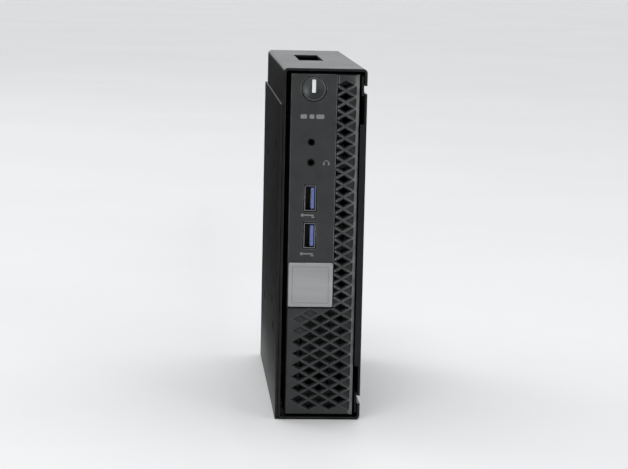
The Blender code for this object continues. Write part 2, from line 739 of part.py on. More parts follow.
def make_port_panel(parent):
    """The smooth moulding at the upper left, with holes for the button, the jacks and the USB sockets."""
    block = box((0, 0, PANEL_LOW), (PANEL_WIDTH, BEZEL_DEPTH, COMPUTER_HEIGHT))
    hollow = box(
        (BEZEL_WALL, BEZEL_FACE, PANEL_LOW + BEZEL_WALL),
        (PANEL_WIDTH - BEZEL_WALL, BEZEL_DEPTH + SHEET, COMPUTER_HEIGHT - BEZEL_WALL),
    )
    end = 2 * BEZEL_FACE
    button = bar((BUTTON_LINE, BUTTON_HEIGHT), BUTTON_RADIUS + GAP, "Y", -SHEET, end, 32)
    holes = usb_openings(-SHEET, end) + jack_openings(JACK_RADIUS + GAP, -SHEET, end)
    piece("port_panel", "bezel_plastic", parent, block, [cut(hollow), cut(button, *holes)])


def make_badge(parent):
    """The blank square plate on the front."""
    low = (BADGE_MARGIN, PANEL_LOW + GAP)
    outline = rounded(low, (low[0] + BADGE_SIDE, low[1] + BADGE_SIDE), 0.0006, steps=3)
    piece("badge", "badge_metal", parent, prism(outline, "Y", -GAP - BADGE_THICKNESS, -GAP))


def make_power_button(parent):
    """The round button with its retaining bar and push rod, and the light bar set in its face."""
    x = BUTTON_LINE
    z = BUTTON_HEIGHT
    back = BEZEL_FACE + GAP
    profile = [
        (0, 0),
        (BUTTON_RADIUS - 0.0005, 0),
        (BUTTON_RADIUS, 0.0005),
        (BUTTON_RADIUS, back + SHEET),
        (0.0020, back + SHEET),
        (0.0020, BUTTON_END),
        (0, BUTTON_END),
    ]
    reach = BUTTON_RADIUS + 0.0011
    retainer = box((x - reach, back, z - 0.0015), (x + reach, back + SHEET, z + 0.0015))
    slot_x = LIGHT_WIDTH / 2 + GAP
    slot_z = LIGHT_HEIGHT / 2 + GAP
    light_z = z + LIGHT_RISE
    slot = box(
        (x - slot_x, -SHEET, light_z - slot_z),
        (x + slot_x, LIGHT_DEPTH + 2 * GAP, light_z + slot_z),
    )
    button = turned(profile, (x, z), "Y", 32)
    origin = (x, 0, z)
    piece("power_button", "button_plastic", parent, button, [add(retainer), cut(slot)], origin)
    low = (x - LIGHT_WIDTH / 2, light_z - LIGHT_HEIGHT / 2)
    outline = rounded(low, (low[0] + LIGHT_WIDTH, low[1] + LIGHT_HEIGHT), 0.0004, steps=3)
    piece("power_light", "light_clear", parent, prism(outline, "Y", GAP, GAP + LIGHT_DEPTH), origin=origin)


def make_front_usb(parent, name, z):
    """A USB socket facing forward: its steel shell and the blue tongue inside."""
    left = PORT_LINE - USB_SHORT / 2
    right = PORT_LINE + USB_SHORT / 2
    reach = USB_LONG / 2
    shell = box((left, USB_FACE, z - reach), (right, USB_FACE + USB_LENGTH, z + reach))
    cavity = box(
        (left + USB_WALL, -SHEET, z - reach + USB_WALL),
        (right - USB_WALL, USB_FACE + USB_CAVITY, z + reach - USB_WALL),
    )
    piece(f"{name}_shell", "socket_metal", parent, shell, [cut(cavity)])
    tongue_right = right - USB_WALL - TONGUE_SPACE
    tongue = box(
        (tongue_right - TONGUE_SHORT, USB_FACE + GAP, z - TONGUE_LONG / 2),
        (tongue_right, USB_FACE + USB_CAVITY - GAP, z + TONGUE_LONG / 2),
    )
    piece(f"{name}_tongue", "usb_blue", parent, tongue)


def make_audio_jack(parent, name, z):
    """A round jack behind its hole in the panel, on the board's front edge."""
    front = BEZEL_FACE + GAP
    back = CASE_FRONT + 2 * SHEET
    barrel = bar((PORT_LINE, z), 0.0031, "Y", front, back + SHEET)
    body = box((ON_BOARD, back, z - 0.0035), (PORT_LINE + 0.0035, back + 0.0095, z + 0.0035))
    bore = bar((PORT_LINE, z), JACK_RADIUS, "Y", front - SHEET, back + 0.0080)
    piece(name, "socket_plastic", parent, body, [add(barrel), cut(bore)])


# Computer rear sockets


def make_rear_usb(parent, name, z, right, length):
    """Two USB sockets one over the other in one shell."""
    end = CASE_REAR + GAP
    mouth = CASE_REAR - USB_CAVITY
    shell = box((ON_BOARD, CASE_REAR - USB_LENGTH, z - length / 2), (right, end, z + length / 2))
    pitch = (right - ON_BOARD) / 2
    reach = length / 2 - USB_WALL
    cavities = []
    tongues = []
    for i in (0, 1):
        near = ON_BOARD + i * pitch + USB_WALL
        far = near + pitch - 2 * USB_WALL
        cavities.append(box((near, mouth, z - reach), (far, end + SHEET, z + reach)))
        tongue = far - 2 * TONGUE_SPACE - TONGUE_SHORT
        tongues.append(box(
            (tongue, mouth - SHEET, z - TONGUE_LONG / 2),
            (tongue + TONGUE_SHORT, CASE_REAR - SHEET, z + TONGUE_LONG / 2),
        ))
    piece(name, "socket_metal", parent, shell, [cut(*cavities), add(*tongues)])


def make_network_socket(parent, name, z, right, length):
    """The network jack: a steel box with a stepped mouth."""
    end = CASE_REAR + GAP
    body = box((ON_BOARD, CASE_REAR - 0.0190, z - length / 2), (right, end, z + length / 2))
    back = CASE_REAR - 0.0140
    mouth = box((ON_BOARD + 0.0028, back, z - 0.0059), (ON_BOARD + 0.0110, end + SHEET, z + 0.0059))
    key = box((ON_BOARD + 0.0012, back, z - 0.0030), (ON_BOARD + 0.0030, end + SHEET, z + 0.0030))
    piece(name, "socket_metal", parent, body, [cut(mouth), cut(key)])


def make_display_socket(parent, name, z, right, length):
    """A display socket: a steel shell with one cut corner round a thin tongue."""
    end = CASE_REAR + GAP
    body = box((ON_BOARD, CASE_REAR - 0.0150, z - length / 2), (right, end, z + length / 2))
    wall = 0.0006
    corner = 0.0018
    low = z - length / 2 + wall
    high = z + length / 2 - wall
    left = ON_BOARD + wall
    outline = [
        (left, low),
        (right - wall, low),
        (right - wall, high),
        (left + corner, high),
        (left, high - corner),
    ]
    middle = (ON_BOARD + right) / 2
    tongue = box(
        (middle - 0.0007, CASE_REAR - 0.0120, z - 0.0060),
        (middle + 0.0007, CASE_REAR - 0.0015, z + 0.0060),
    )
    cavity = prism(outline, "Y", CASE_REAR - 0.0110, end + SHEET)
    piece(name, "socket_metal", parent, body, [cut(cavity), add(tongue)])


def make_power_inlet(parent, name, z, right, length):
    """The round power inlet with its centre pin."""
    end = CASE_REAR + GAP
    centre = ((ON_BOARD + right) / 2, z)
    body = box((ON_BOARD, CASE_REAR - 0.0130, z - length / 2), (right, end, z + length / 2))
    bore = bar(centre, 0.0038, "Y", CASE_REAR - 0.0100, end + SHEET, 16)
    pin = bar(centre, 0.0007, "Y", CASE_REAR - 0.0110, CASE_REAR - 0.0020, 8)
    piece(name, "socket_plastic", parent, body, [cut(bore), add(pin)])


# Inside the computer


def on_board(depth_share, height_share):
    """(depth, height) of a place in the middle of the board, as shares of that zone."""
    y = ZONE_FRONT + depth_share * (ZONE_REAR - ZONE_FRONT)
    z = ZONE_LOW + height_share * (ZONE_HIGH - ZONE_LOW)
    return y, z


def board_block(low_share, high_share, near, far):
    """A block on the board between two places, from one height over the board's face to another."""
    y1, z1 = on_board(*low_share)
    y2, z2 = on_board(*high_share)
    return box((ON_BOARD + near, y1, z1), (ON_BOARD + far, y2, z2))


def make_motherboard(parent):
    """The main board and the four screws that hold it to its posts."""
    low = (BOARD_FACE - BOARD_THICKNESS, CASE_FRONT + 2 * SHEET, BOARD_MARGIN)
    high = (BOARD_FACE, CASE_REAR - 2 * SHEET, COMPUTER_HEIGHT - BOARD_MARGIN)
    places = board_post_places()
    holes = [bar(place, BOARD_SCREW + GAP, "X", low[0] - SHEET, high[0] + SHEET, 16) for place in places]
    piece("motherboard", "board_green", parent, box(low, high), [cut(*holes)])
    for number, place in enumerate(places, 1):
        profile = [
            (0, 2 * SHEET),
            (BOARD_SCREW, 2 * SHEET),
            (BOARD_SCREW, ON_BOARD),
            (BOARD_SCREW_HEAD, ON_BOARD),
            (BOARD_SCREW_HEAD * 0.8, ON_BOARD + 0.0011),
            (0, ON_BOARD + 0.0011),
        ]
        piece(f"board_screw_{number}", "zinc_steel", parent, turned(profile, place, "X", 16))


def square(y, z, side, near, far):
    """A square block over the board, from one X to another."""
    return box((near, y - side / 2, z - side / 2), (far, y + side / 2, z + side / 2))


def make_processor(parent):
    """The socket, the processor in it and the finned heat sink on top."""
    y = SINK_FRONT + SINK_LENGTH / 2
    z = ROTOR_CENTRE[1]
    side = 0.62 * min(SINK_LENGTH, BLOWER_SIDE)
    floor = ON_BOARD + 0.0014
    frame = square(y, z, side, ON_BOARD, ON_BOARD + 0.0030)
    well = square(y, z, side * 0.86, floor, ON_BOARD + 0.0040)
    piece("processor_socket", "socket_plastic", parent, frame, [cut(well)])
    chip = square(y, z, side * 0.86 - 2 * GAP, floor + GAP, floor + GAP + 0.0012)
    top = floor + GAP + 0.0032
    lid = square(y, z, side * 0.68, floor + GAP + 0.0010, top)
    piece("processor", "bare_aluminium", parent, chip, [add(lid)])
    base = top + GAP
    root = base + 0.0030
    reach = BLOWER_SIDE / 2
    pitch = (BLOWER_SIDE - FIN_THICKNESS) / (SINK_FINS - 1)
    outline = [(base, z - reach), (base, z + reach)]
    for i in reversed(range(SINK_FINS)):
        low = z - reach + i * pitch
        outline.append((BLOWER_FAR, low + FIN_THICKNESS))
        outline.append((BLOWER_FAR, low))
        outline.append((root, low))
        outline.append((root, low - pitch + FIN_THICKNESS))
    sink = prism(outline[:-2], "Y", SINK_FRONT, SINK_FRONT + SINK_LENGTH)
    piece("heat_sink", "bare_aluminium", parent, sink)


def make_blower(parent):
    """The blower's housing, open towards the heat sink, with its spokes, its shaft and three short legs."""
    y, z = ROTOR_CENTRE
    half = BLOWER_SIDE / 2
    wall = BLOWER_WALL
    outline = rounded((y - half, z - half), (y + half, z + half), 0.27 * BLOWER_SIDE, (1, 2), 8)
    room = bar((y, z), ROTOR_RADIUS + 0.0025, "X", BLOWER_NEAR + wall, BLOWER_FAR - wall, 40)
    throat = box(
        (BLOWER_NEAR + wall, y, z - half + wall),
        (BLOWER_FAR - wall, y + half + wall, z + half - wall),
    )
    intake = bar((y, z), 0.74 * ROTOR_RADIUS, "X", BLOWER_FAR - 2 * wall, BLOWER_FAR + wall, 40)
    small_intake = bar((y, z), 0.60 * ROTOR_RADIUS, "X", BLOWER_NEAR - wall, BLOWER_NEAR + 2 * wall, 32)
    reach = 0.66 * ROTOR_RADIUS
    thin = 0.0015
    spoke = box((BLOWER_NEAR, y - reach, z - thin), (BLOWER_NEAR + wall, y + reach, z + thin))
    other_spoke = box((BLOWER_NEAR, y - thin, z - reach), (BLOWER_NEAR + wall, y + thin, z + reach))
    boss = bar((y, z), 0.0080, "X", BLOWER_NEAR, BLOWER_NEAR + wall, 24)
    shaft = bar((y, z), SHAFT_RADIUS, "X", BLOWER_NEAR + wall / 2, BLOWER_FAR - 0.0065)
    far = 0.85 * half
    leg_places = [(y + far, z - far), (y + far, z + far), (y - 0.90 * half, z)]
    legs = [bar(place, 0.0020, "X", ON_BOARD, BLOWER_NEAR + wall / 2, 16) for place in leg_places]
    steps = [
        cut(room),
        cut(throat),
        cut(intake, small_intake),
        add(spoke),
        add(other_spoke),
        add(boss),
        add(shaft, *legs),
    ]
    piece("blower_housing", "chip_black", parent, prism(outline, "X", BLOWER_NEAR, BLOWER_FAR), steps)


def rotor_blade(i, near, far):
    """One blade of the blower's wheel, leaning forward."""
    middle = 0.84 * ROTOR_RADIUS
    blade = box((near, 0.67 * ROTOR_RADIUS, -0.0004), (far, 0.99 * ROTOR_RADIUS, 0.0004))
    lean = Matrix.Translation((0, middle, 0)) @ Matrix.Rotation(math.radians(35), 4, "X")
    lean = lean @ Matrix.Translation((0, -middle, 0))
    blade.transform(Matrix.Rotation(2 * math.pi * i / ROTOR_BLADES, 4, "X") @ lean)
    blade.transform(Matrix.Translation((0, *ROTOR_CENTRE)))
    return blade


def make_rotor(parent):
    """The blower's wheel: a hub on a disc, with blades standing round its rim, turning on the shaft."""
    near = BLOWER_NEAR + BLOWER_WALL + ROTOR_ROOM
    far = BLOWER_FAR - BLOWER_WALL - ROTOR_ROOM
    disc = near + 0.0014
    profile = [
        (0, near),
        (ROTOR_RADIUS, near),
        (ROTOR_RADIUS, disc),
        (0.43 * ROTOR_RADIUS, disc),
        (0.40 * ROTOR_RADIUS, far - 0.0010),
        (0.36 * ROTOR_RADIUS, far),
        (0, far),
    ]
    blades = [rotor_blade(i, near + 0.0007, far) for i in range(ROTOR_BLADES)]
    bore = bar(ROTOR_CENTRE, SHAFT_RADIUS + GAP, "X", near - SHEET, BLOWER_FAR - 0.0060)
    hub = turned(profile, ROTOR_CENTRE, "X", 40)
    piece("blower_rotor", "chip_black", parent, hub, [add(*blades), cut(bore)], (near, *ROTOR_CENTRE))


def make_memory(parent):
    """Two memory modules one over the other in a double socket."""
    height = 0.36 * HEADROOM
    thickness = 0.0012
    slots = []
    for number, share in enumerate((0.08, 0.25), 1):
        near = share * HEADROOM
        stick = board_block((0.300, 0.566), (0.513, 0.964), near, near + thickness)
        lids = [
            board_block((0.355, low), (0.440, low + 0.059), near + thickness / 2, near + thickness + 0.0010)
            for low in (0.582, 0.665, 0.806, 0.889)
        ]
        piece(f"memory_module_{number}", "board_green", parent, stick, [add(*lids)])
        slots.append(board_block((0.297, 0.563), (0.330, 0.967), near - GAP, near + thickness + GAP))
    socket = board_block((0.269, 0.555), (0.315, 0.975), 0, height)
    piece("memory_socket", "socket_plastic", parent, socket, [cut(*slots)])


def make_card(parent, name, low_share, high_share, lids):
    """A card over the board, its lower edge in a socket. Each lid is two shares of its length."""
    near = 0.0016
    thickness = 0.0008
    y1, z1 = on_board(*low_share)
    y2, z2 = on_board(*high_share)
    left = ON_BOARD + near
    card = box((left, y1, z1), (left + thickness, y2, z2))
    chips = [
        box(
            (left + thickness / 2, y1 + 0.15 * (y2 - y1), z1 + low * (z2 - z1)),
            (left + thickness + 0.0012, y2 - 0.15 * (y2 - y1), z1 + high * (z2 - z1)),
        )
        for low, high in lids
    ]
    piece(name, "board_green", parent, card, [add(*chips)])
    socket = box((ON_BOARD, y1 - SHEET, z1 - 0.0050), (ON_BOARD + 0.0040, y2 + SHEET, z1 + 0.0020))
    slot = box((left - GAP, y1 - GAP, z1 - GAP), (left + thickness + GAP, y2 + GAP, z1 + 0.0030))
    piece(f"{name}_socket", "socket_plastic", parent, socket, [cut(slot)])


def make_small_parts(parent):
    """The coin cell and its holder, the speaker, and the switch behind the power button."""
    centre = on_board(0.93, 0.512)
    holder = bar(centre, 0.0120, "X", ON_BOARD, ON_BOARD + 0.0034, 32)
    well = bar(centre, 0.0100 + GAP, "X", ON_BOARD + 0.0010, ON_BOARD + 0.0050, 32)
    piece("cell_holder", "socket_plastic", parent, holder, [cut(well)])
    cell = bar(centre, 0.0100, "X", ON_BOARD + 0.0010 + GAP, ON_BOARD + 0.0042, 32)
    piece("coin_cell", "zinc_steel", parent, cell)
    height = 0.294 * HEADROOM
    speaker = board_block((0.090, 0.700), (0.212, 0.906), 0, height)
    cone = bar(on_board(0.151, 0.803), 0.0060, "X", ON_BOARD + height - 0.0020, ON_BOARD + height + 0.0020, 24)
    piece("speaker", "chip_black", parent, speaker, [cut(cone)])
    front = BUTTON_END + BUTTON_TRAVEL + GAP
    switch = box(
        (ON_BOARD, front + 0.0008, BUTTON_HEIGHT - 0.0030),
        (BUTTON_LINE + 0.0030, front + 0.0042, BUTTON_HEIGHT + 0.0030),
    )
    plunger = bar((BUTTON_LINE, BUTTON_HEIGHT), 0.0014, "Y", front, front + 0.0020)
    piece("power_switch", "socket_plastic", parent, switch, [add(plunger)])


def make_drive(parent):
    """The flat drive, the caddy it slides out with, and the steel cage that holds them over the board."""
    y1, z1 = on_board(0.083, 0.559)
    y2, z2 = on_board(0.800, 0.971)
    x1 = BOARD_FACE + 0.52 * HEADROOM
    x2 = x1 + 0.257 * HEADROOM
    wall = CADDY_WALL
    origin = (x1, y1, z1)
    piece("drive", "bare_aluminium", parent, box(origin, (x2, y2, z2)), origin=origin)
    low = (x1 - GAP - wall, y1 - GAP - wall, z1 - GAP - wall)
    body = box(low, (x2, y2 + GAP + wall, z2 + GAP + wall))
    room = box((x1 - GAP, y1 - GAP, z1 - GAP), (x2 + wall, y2 + GAP, z2 + GAP))
    inset = 0.012
    opening = box((low[0] - wall, y1 + inset, z1 + inset), (x1, y2 - inset, z2 - inset))
    middle = (z1 + z2) / 2
    pull = box((x1 - GAP, low[1] - 0.0050, middle - 0.015), (x2, low[1] + wall / 2, middle + 0.015))
    grip = box((x1 + wall, low[1] - 0.0036, middle - 0.0136), (x2 + wall, low[1] - GAP, middle + 0.0136))
    steps = [cut(room), cut(opening), add(pull), cut(grip)]
    piece("drive_caddy", "caddy_blue", parent, body, steps, origin)
    shelf = low[0] - GAP
    legs = (z1 - 0.0040, z2 + 0.0026)
    front, _ = on_board(0.115, 0)
    rear, _ = on_board(0.752, 0)
    cage = box((shelf - SHEET, front, legs[0]), (shelf, rear, legs[1] + SHEET))
    depths = ((front, front + 0.0090), (on_board(0.730, 0)[0], rear))
    feet = [
        box((ON_BOARD, near, z), (shelf - SHEET / 2, far, z + SHEET))
        for near, far in depths
        for z in legs
    ]
    window = box((shelf - 2 * SHEET, front + inset, z1 + inset), (shelf + SHEET, rear - inset, z2 - inset))
    piece("drive_cage", "zinc_steel", parent, cage, [add(*feet), cut(window)])


# The whole part


def make_sleeve(sleeve):
    """Everything that stays with the sleeve."""
    make_sleeve_wrap(sleeve)
    make_sleeve_plate(sleeve)
    make_display_plate(sleeve)
    make_sleeve_screws(sleeve)
    make_sleeve_pads(sleeve)
    make_thumbscrew("sleeve_thumbscrew", sleeve, sleeve_thumb_place(), SLEEVE_DEPTH)


def make_outside(computer):
    """The computer's case, front and sockets."""
    make_base_tray(computer)
    make_side_cover(computer)
    make_thumbscrew("cover_thumbscrew", computer, cover_thumb_place(), CASE_REAR + GAP + SHEET)
    make_feet(computer)
    make_front_grille(computer)
    make_port_panel(computer)
    make_badge(computer)
    make_power_button(computer)
    make_front_usb(computer, "usb_front_upper", COMPUTER_HEIGHT - UPPER_USB_DROP)
    make_front_usb(computer, "usb_front_lower", COMPUTER_HEIGHT - LOWER_USB_DROP)
    make_audio_jack(computer, "audio_jack_upper", COMPUTER_HEIGHT - UPPER_JACK_DROP)
    make_audio_jack(computer, "audio_jack_lower", COMPUTER_HEIGHT - LOWER_JACK_DROP)
    makers = {
        "power": make_power_inlet,
        "usb": make_rear_usb,
        "network": make_network_socket,
        "display": make_display_socket,
    }
    for name, z, right, length in rear_sockets():
        makers[name.split("_")[0]](computer, name, z, right, length)


def make_inside(computer):
    """The board and everything over it."""
    make_motherboard(computer)
    make_processor(computer)
    make_blower(computer)
    make_rotor(computer)
    make_memory(computer)
    storage_lids = ((0.10, 0.25), (0.35, 0.60), (0.66, 0.92))
    make_card(computer, "storage_card", (0.563, 0.560), (0.715, 0.985), storage_lids)
    make_card(computer, "wireless_card", (0.775, 0.715), (0.921, 0.880), ((0.20, 0.85),))
    make_small_parts(computer)
    make_drive(computer)


def main():
    """Clears the scene and makes the part."""
    for obj in list(bpy.data.objects):
        bpy.data.objects.remove(obj)
    sleeve = corner_empty("sleeve_corner", SLEEVE_CORNER)
    computer = corner_empty("computer_corner", COMPUTER_CORNER, sleeve)
    make_sleeve(sleeve)
    make_outside(computer)
    make_inside(computer)


main()
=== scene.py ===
import math

import bmesh
import bpy
import numpy as np
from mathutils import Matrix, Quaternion, Vector


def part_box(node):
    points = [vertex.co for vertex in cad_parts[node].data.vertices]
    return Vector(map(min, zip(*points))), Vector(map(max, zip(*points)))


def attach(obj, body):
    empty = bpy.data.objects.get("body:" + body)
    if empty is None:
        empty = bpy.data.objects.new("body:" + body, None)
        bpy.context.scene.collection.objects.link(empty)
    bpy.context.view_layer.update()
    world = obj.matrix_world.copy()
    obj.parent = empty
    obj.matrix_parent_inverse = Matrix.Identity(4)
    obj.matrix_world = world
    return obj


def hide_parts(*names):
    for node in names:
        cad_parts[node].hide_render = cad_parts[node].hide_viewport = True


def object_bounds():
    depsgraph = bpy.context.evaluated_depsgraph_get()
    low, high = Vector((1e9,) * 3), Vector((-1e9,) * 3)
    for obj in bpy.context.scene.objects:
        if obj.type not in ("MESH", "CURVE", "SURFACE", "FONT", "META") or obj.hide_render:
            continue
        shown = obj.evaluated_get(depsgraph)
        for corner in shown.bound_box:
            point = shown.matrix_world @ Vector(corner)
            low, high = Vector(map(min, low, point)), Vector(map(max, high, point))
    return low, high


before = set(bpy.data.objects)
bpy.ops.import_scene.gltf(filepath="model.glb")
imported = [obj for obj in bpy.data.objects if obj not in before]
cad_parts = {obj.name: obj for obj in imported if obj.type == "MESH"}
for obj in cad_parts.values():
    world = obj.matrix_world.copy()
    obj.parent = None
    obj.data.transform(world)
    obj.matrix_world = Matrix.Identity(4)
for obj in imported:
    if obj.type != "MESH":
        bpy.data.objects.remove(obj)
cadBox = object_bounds()
mm = 0.001
past = 1.0 * mm  # how far a cutter runs past a face
sliver = 2e-6  # how far a cutter's lip stands off a face
print("stage: frame loaded")


def inMetres(**given):  # lengths and tuples of lengths, given in millimetres
    return {name: tuple(np.array(size) * mm) if isinstance(size, tuple) else size * mm
            for name, size in given.items()}


# Corner p of an outline moved in by d is p + d (n + m) / (1 + n.m), n and m its two sides' inward normals.
def movedIn(outline, inset):
    side = np.roll(outline, -1, axis=0) - outline
    side = side / np.linalg.norm(side, axis=1, keepdims=True)
    normal = np.stack([-side[:, 1], side[:, 0]], axis=1)
    before = np.roll(normal, 1, axis=0)
    return outline + inset * (normal + before) / (1 + np.sum(normal * before, axis=1, keepdims=True))


# The shoelace sum, half of the cross products of neighbouring corners, is below zero for a clockwise outline.
def anticlockwise(outline):
    ahead = np.roll(outline, -1, axis=0)
    area = np.sum(outline[:, 0] * ahead[:, 1] - ahead[:, 0] * outline[:, 1]) / 2
    return outline if area > 0 else outline[::-1]


# A rectangle with round corners: the corner centre plus r (cos t, sin t), t running round once.
def roundRect(centreA, centreB, width, height, radius, steps=6):
    turn = np.linspace(0, np.pi / 2, steps + 1)
    turns = turn[None, :] + np.arange(4)[:, None] * np.pi / 2
    signA = np.array([1, -1, -1, 1])[:, None]
    signB = np.array([1, 1, -1, -1])[:, None]
    a = centreA + signA * (width / 2 - radius) + radius * np.cos(turns)
    b = centreB + signB * (height / 2 - radius) + radius * np.sin(turns)
    return np.stack([a.ravel(), b.ravel()], axis=1)


# A circle: the centre plus r (cos t, sin t).
def roundOutline(centreA, centreB, radius, steps=48):
    t = np.arange(steps) / steps * 2 * np.pi
    return np.stack([centreA + radius * np.cos(t), centreB + radius * np.sin(t)], axis=1)


# A turned solid with a swinging radius: ring k is the radius less inset_k at place_k, at each angle t.
def turnedSolid(name, centreA, centreB, radius, stations, steps, knurls, depth):
    t = np.arange(steps) / steps * 2 * np.pi
    swing = depth * (1 - np.cos(knurls * t)) / 2
    r = radius - swing[None, :] - stations[:, :1]
    rings = np.stack([centreA + r * np.cos(t), centreB + r * np.sin(t)], axis=-1)
    return skinned(name, across(rings, stations[:, 1, None], "Y")[None], stations[:, 2])


# A sheet folded at right angles along its middle line: each corner becomes an arc of radius bend + half a
# thickness, and the outline is that line moved half a thickness to either side.
def foldedOutline(path, thickness, bend, steps=9):
    path = np.asarray(path, float)
    reach = bend + thickness / 2
    way = np.diff(path, axis=0)
    way = way / np.linalg.norm(way, axis=1, keepdims=True)
    arrive, leave = way[:-1], way[1:]
    turn = np.linspace(0, np.pi / 2, steps + 1)[None, :, None]
    centre = (path[1:-1] + (leave - arrive) * reach)[:, None, :]
    arcs = centre - leave[:, None, :] * reach * np.cos(turn) + arrive[:, None, :] * reach * np.sin(turn)
    outward = -leave[:, None, :] * np.cos(turn) + arrive[:, None, :] * np.sin(turn)
    handed = np.sign(arrive[:, 0] * leave[:, 1] - arrive[:, 1] * leave[:, 0])[:, None, None]
    middle = np.concatenate([path[:1], arcs.reshape(-1, 2), path[-1:]])
    aside = (outward * -handed).reshape(-1, 2)
    aside = np.concatenate([aside[:1], aside, aside[-1:]]) * thickness / 2
    return np.concatenate([middle + aside, (middle - aside)[::-1]])


# An edge of radius r from the side to the face: inset r (1 - cos t), rise r (1 - sin t), wear and painted
# highlight sin 2t.
def edgeSteps(radius, steps=4):
    t = np.linspace(0, np.pi / 2, steps + 1)
    return np.stack([radius * (1 - np.cos(t)), radius * (1 - np.sin(t)), np.sin(2 * t)], axis=1)


# Stations (inset, place, wear and painted highlight) of a solid from one end to the other, both with round
# edges.
def solidStations(start, end, radius, steps=4):
    way = np.sign(end - start)
    edge = edgeSteps(radius, steps)
    return np.concatenate([edge[::-1] * [1, way, 1] + [0, start, 0], edge * [1, -way, 1] + [0, end, 0]])


# Stations of a cup: up the outside, over a round lip, down the inside at one wall's inset, to its floor.
def cupStations(back, lip, wall, floor, radius):
    outside = solidStations(back, lip, radius, 3)
    way = np.sign(lip - back)
    inside = edgeSteps(radius, 3)[::-1] * [-1, -way, 1] + [wall, lip, 0]
    return np.concatenate([outside, inside, [[wall, floor, 0]]])


# Stations of a cutter: outside the face, round into the hole, straight to the end.
def holeStations(face, end, flare, steps=3):
    way = np.sign(end - face)
    lip = (edgeSteps(flare, steps)[::-1] - [0, sliver, 0]) * [-1, way, 0] + [0, face, 0]
    return np.concatenate([[[-flare, face - way * 1.5 * past, 0]], lip, [[0, end, 0]]])


def linked(name, data):  # a new object, put into the scene
    obj = bpy.data.objects.new(name, data)
    bpy.context.scene.collection.objects.link(obj)
    return obj


# Points and faces become an object, its faces turned round where their signed volume is below zero.
def meshObject(name, points, faces):
    mesh = bpy.data.meshes.new(name)
    mesh.from_pydata(points.reshape(-1, 3).tolist(), [], faces)
    edit = bmesh.new()
    edit.from_mesh(mesh)
    if edit.calc_volume(signed=True) < 0:
        bmesh.ops.reverse_faces(edit, faces=edit.faces[:])
    edit.to_mesh(mesh)
    edit.free()
    return linked(name, mesh)


# Rings of points become closed skins: point (k, i) joins (k, i+1), (k+1, i+1) and (k+1, i), and both ends are
# filled. points is solids x rings x corners x 3.
def skinned(name, points, wearAndHighlight=None):
    solids, rings, corners, _ = points.shape
    index = np.arange(solids * rings * corners).reshape(solids, rings, corners)
    ahead = np.roll(index, -1, axis=2)
    quads = np.stack([index[:, :-1], ahead[:, :-1], ahead[:, 1:], index[:, 1:]], axis=-1).reshape(-1, 4)
    ends = np.concatenate([index[:, 0, ::-1], index[:, -1]])
    obj = meshObject(name, points, quads.tolist() + ends.tolist())
    # lighter round edges: real wear on most finishes, a painted highlight on the bezel and button
    if wearAndHighlight is not None:
        spread = np.broadcast_to(np.asarray(wearAndHighlight, np.float32)[None, :, None], (solids, rings, corners))
        obj.data.attributes.new("edgeWearAndHighlight", "FLOAT", "POINT").data.foreach_set("value", spread.ravel())
    return obj


# A closed tube: ring k joins ring k+1, and the last joins the first, so it has no ends.
def ringSolid(name, points):
    rings, corners, _ = points.shape
    index = np.arange(rings * corners).reshape(rings, corners)
    side, ahead = np.roll(index, -1, axis=1), np.roll(index, -1, axis=0)
    quads = np.stack([index, side, np.roll(side, -1, axis=0), ahead], axis=-1).reshape(-1, 4)
    return meshObject(name, points, quads.tolist())


# A thin round tube: the four corners (radius, place) of its wall's section, each turned once round.
def thinTube(name, centreA, centreB, outer, inner, near, far, steps):
    radii, places = np.array([outer, outer, inner, inner]), np.array([near, far, far, near])
    rings = np.stack([roundOutline(centreA, centreB, radius, steps) for radius in radii])
    return ringSolid(name, across(rings, places[:, None], "Y"))


# Outlines (a, b) stand across the axis: X gives (s, a, b), Y gives (a, s, b), Z gives (a, b, s).
def across(flat, along, axis):
    a, b = flat[..., 0], flat[..., 1]
    s = np.broadcast_to(along, a.shape)
    return np.stack({"X": (s, a, b), "Y": (a, s, b), "Z": (a, b, s)}[axis], axis=-1)


# A loft at many places: ring k is the place plus the outline moved in by inset_k, at place_k on the axis.
def loftedMany(name, places, outline, stations, axis):
    stations = np.asarray(stations, float)
    rings = np.stack([movedIn(outline, inset) for inset in stations[:, 0]])
    moved = rings[None] + np.asarray(places, float)[:, None, None, :]
    return skinned(name, across(moved, stations[None, :, 1, None], axis), stations[:, 2])


def lofted(name, outline, stations, axis):  # the same, once
    return loftedMany(name, [(0, 0)], anticlockwise(outline), stations, axis)


def boxOutline(low, high):
    return np.array([(low[0], low[1]), (high[0], low[1]), (high[0], high[1]), (low[0], high[1])], float)


def centreOf(low, high):
    return [(a + b) / 2 for a, b in zip(low, high)]


# A box's rectangle across one axis, with round corners, made larger both ways by grow.
def roundBox(low, high, axis, radius, steps=6, grow=0.0):
    a, b = {"X": (1, 2), "Y": (0, 2), "Z": (0, 1)}[axis]
    centre = centreOf(low, high)
    return roundRect(centre[a], centre[b], high[a] - low[a] + grow, high[b] - low[b] + grow, radius, steps)


# A block: that rectangle carried from one end of the box to the other, with round edges.
def slab(name, low, high, axis, cornerRadius, edgeRadius):
    k = "XYZ".index(axis)
    stations = solidStations(low[k], high[k], edgeRadius)
    return lofted(name, roundBox(low, high, axis, cornerRadius), stations, axis)


def combine(obj, tool, operation="DIFFERENCE"):  # the tool is used up
    modifier = obj.modifiers.new("combine", "BOOLEAN")
    modifier.operation = operation
    modifier.solver = "EXACT"
    modifier.object = tool
    graph = bpy.context.evaluated_depsgraph_get()
    made = bpy.data.meshes.new_from_object(obj.evaluated_get(graph))
    obj.modifiers.clear()
    spent = [obj.data, tool.data]
    obj.data = made
    bpy.data.objects.remove(tool)
    for mesh in spent:
        bpy.data.meshes.remove(mesh)
    return obj


def drill(obj, outline, start, end, axis="Y", operation="DIFFERENCE"):  # a straight cut, or a straight boss
    return combine(obj, lofted("tool", outline, [(0, start, 0), (0, end, 0)], axis), operation)


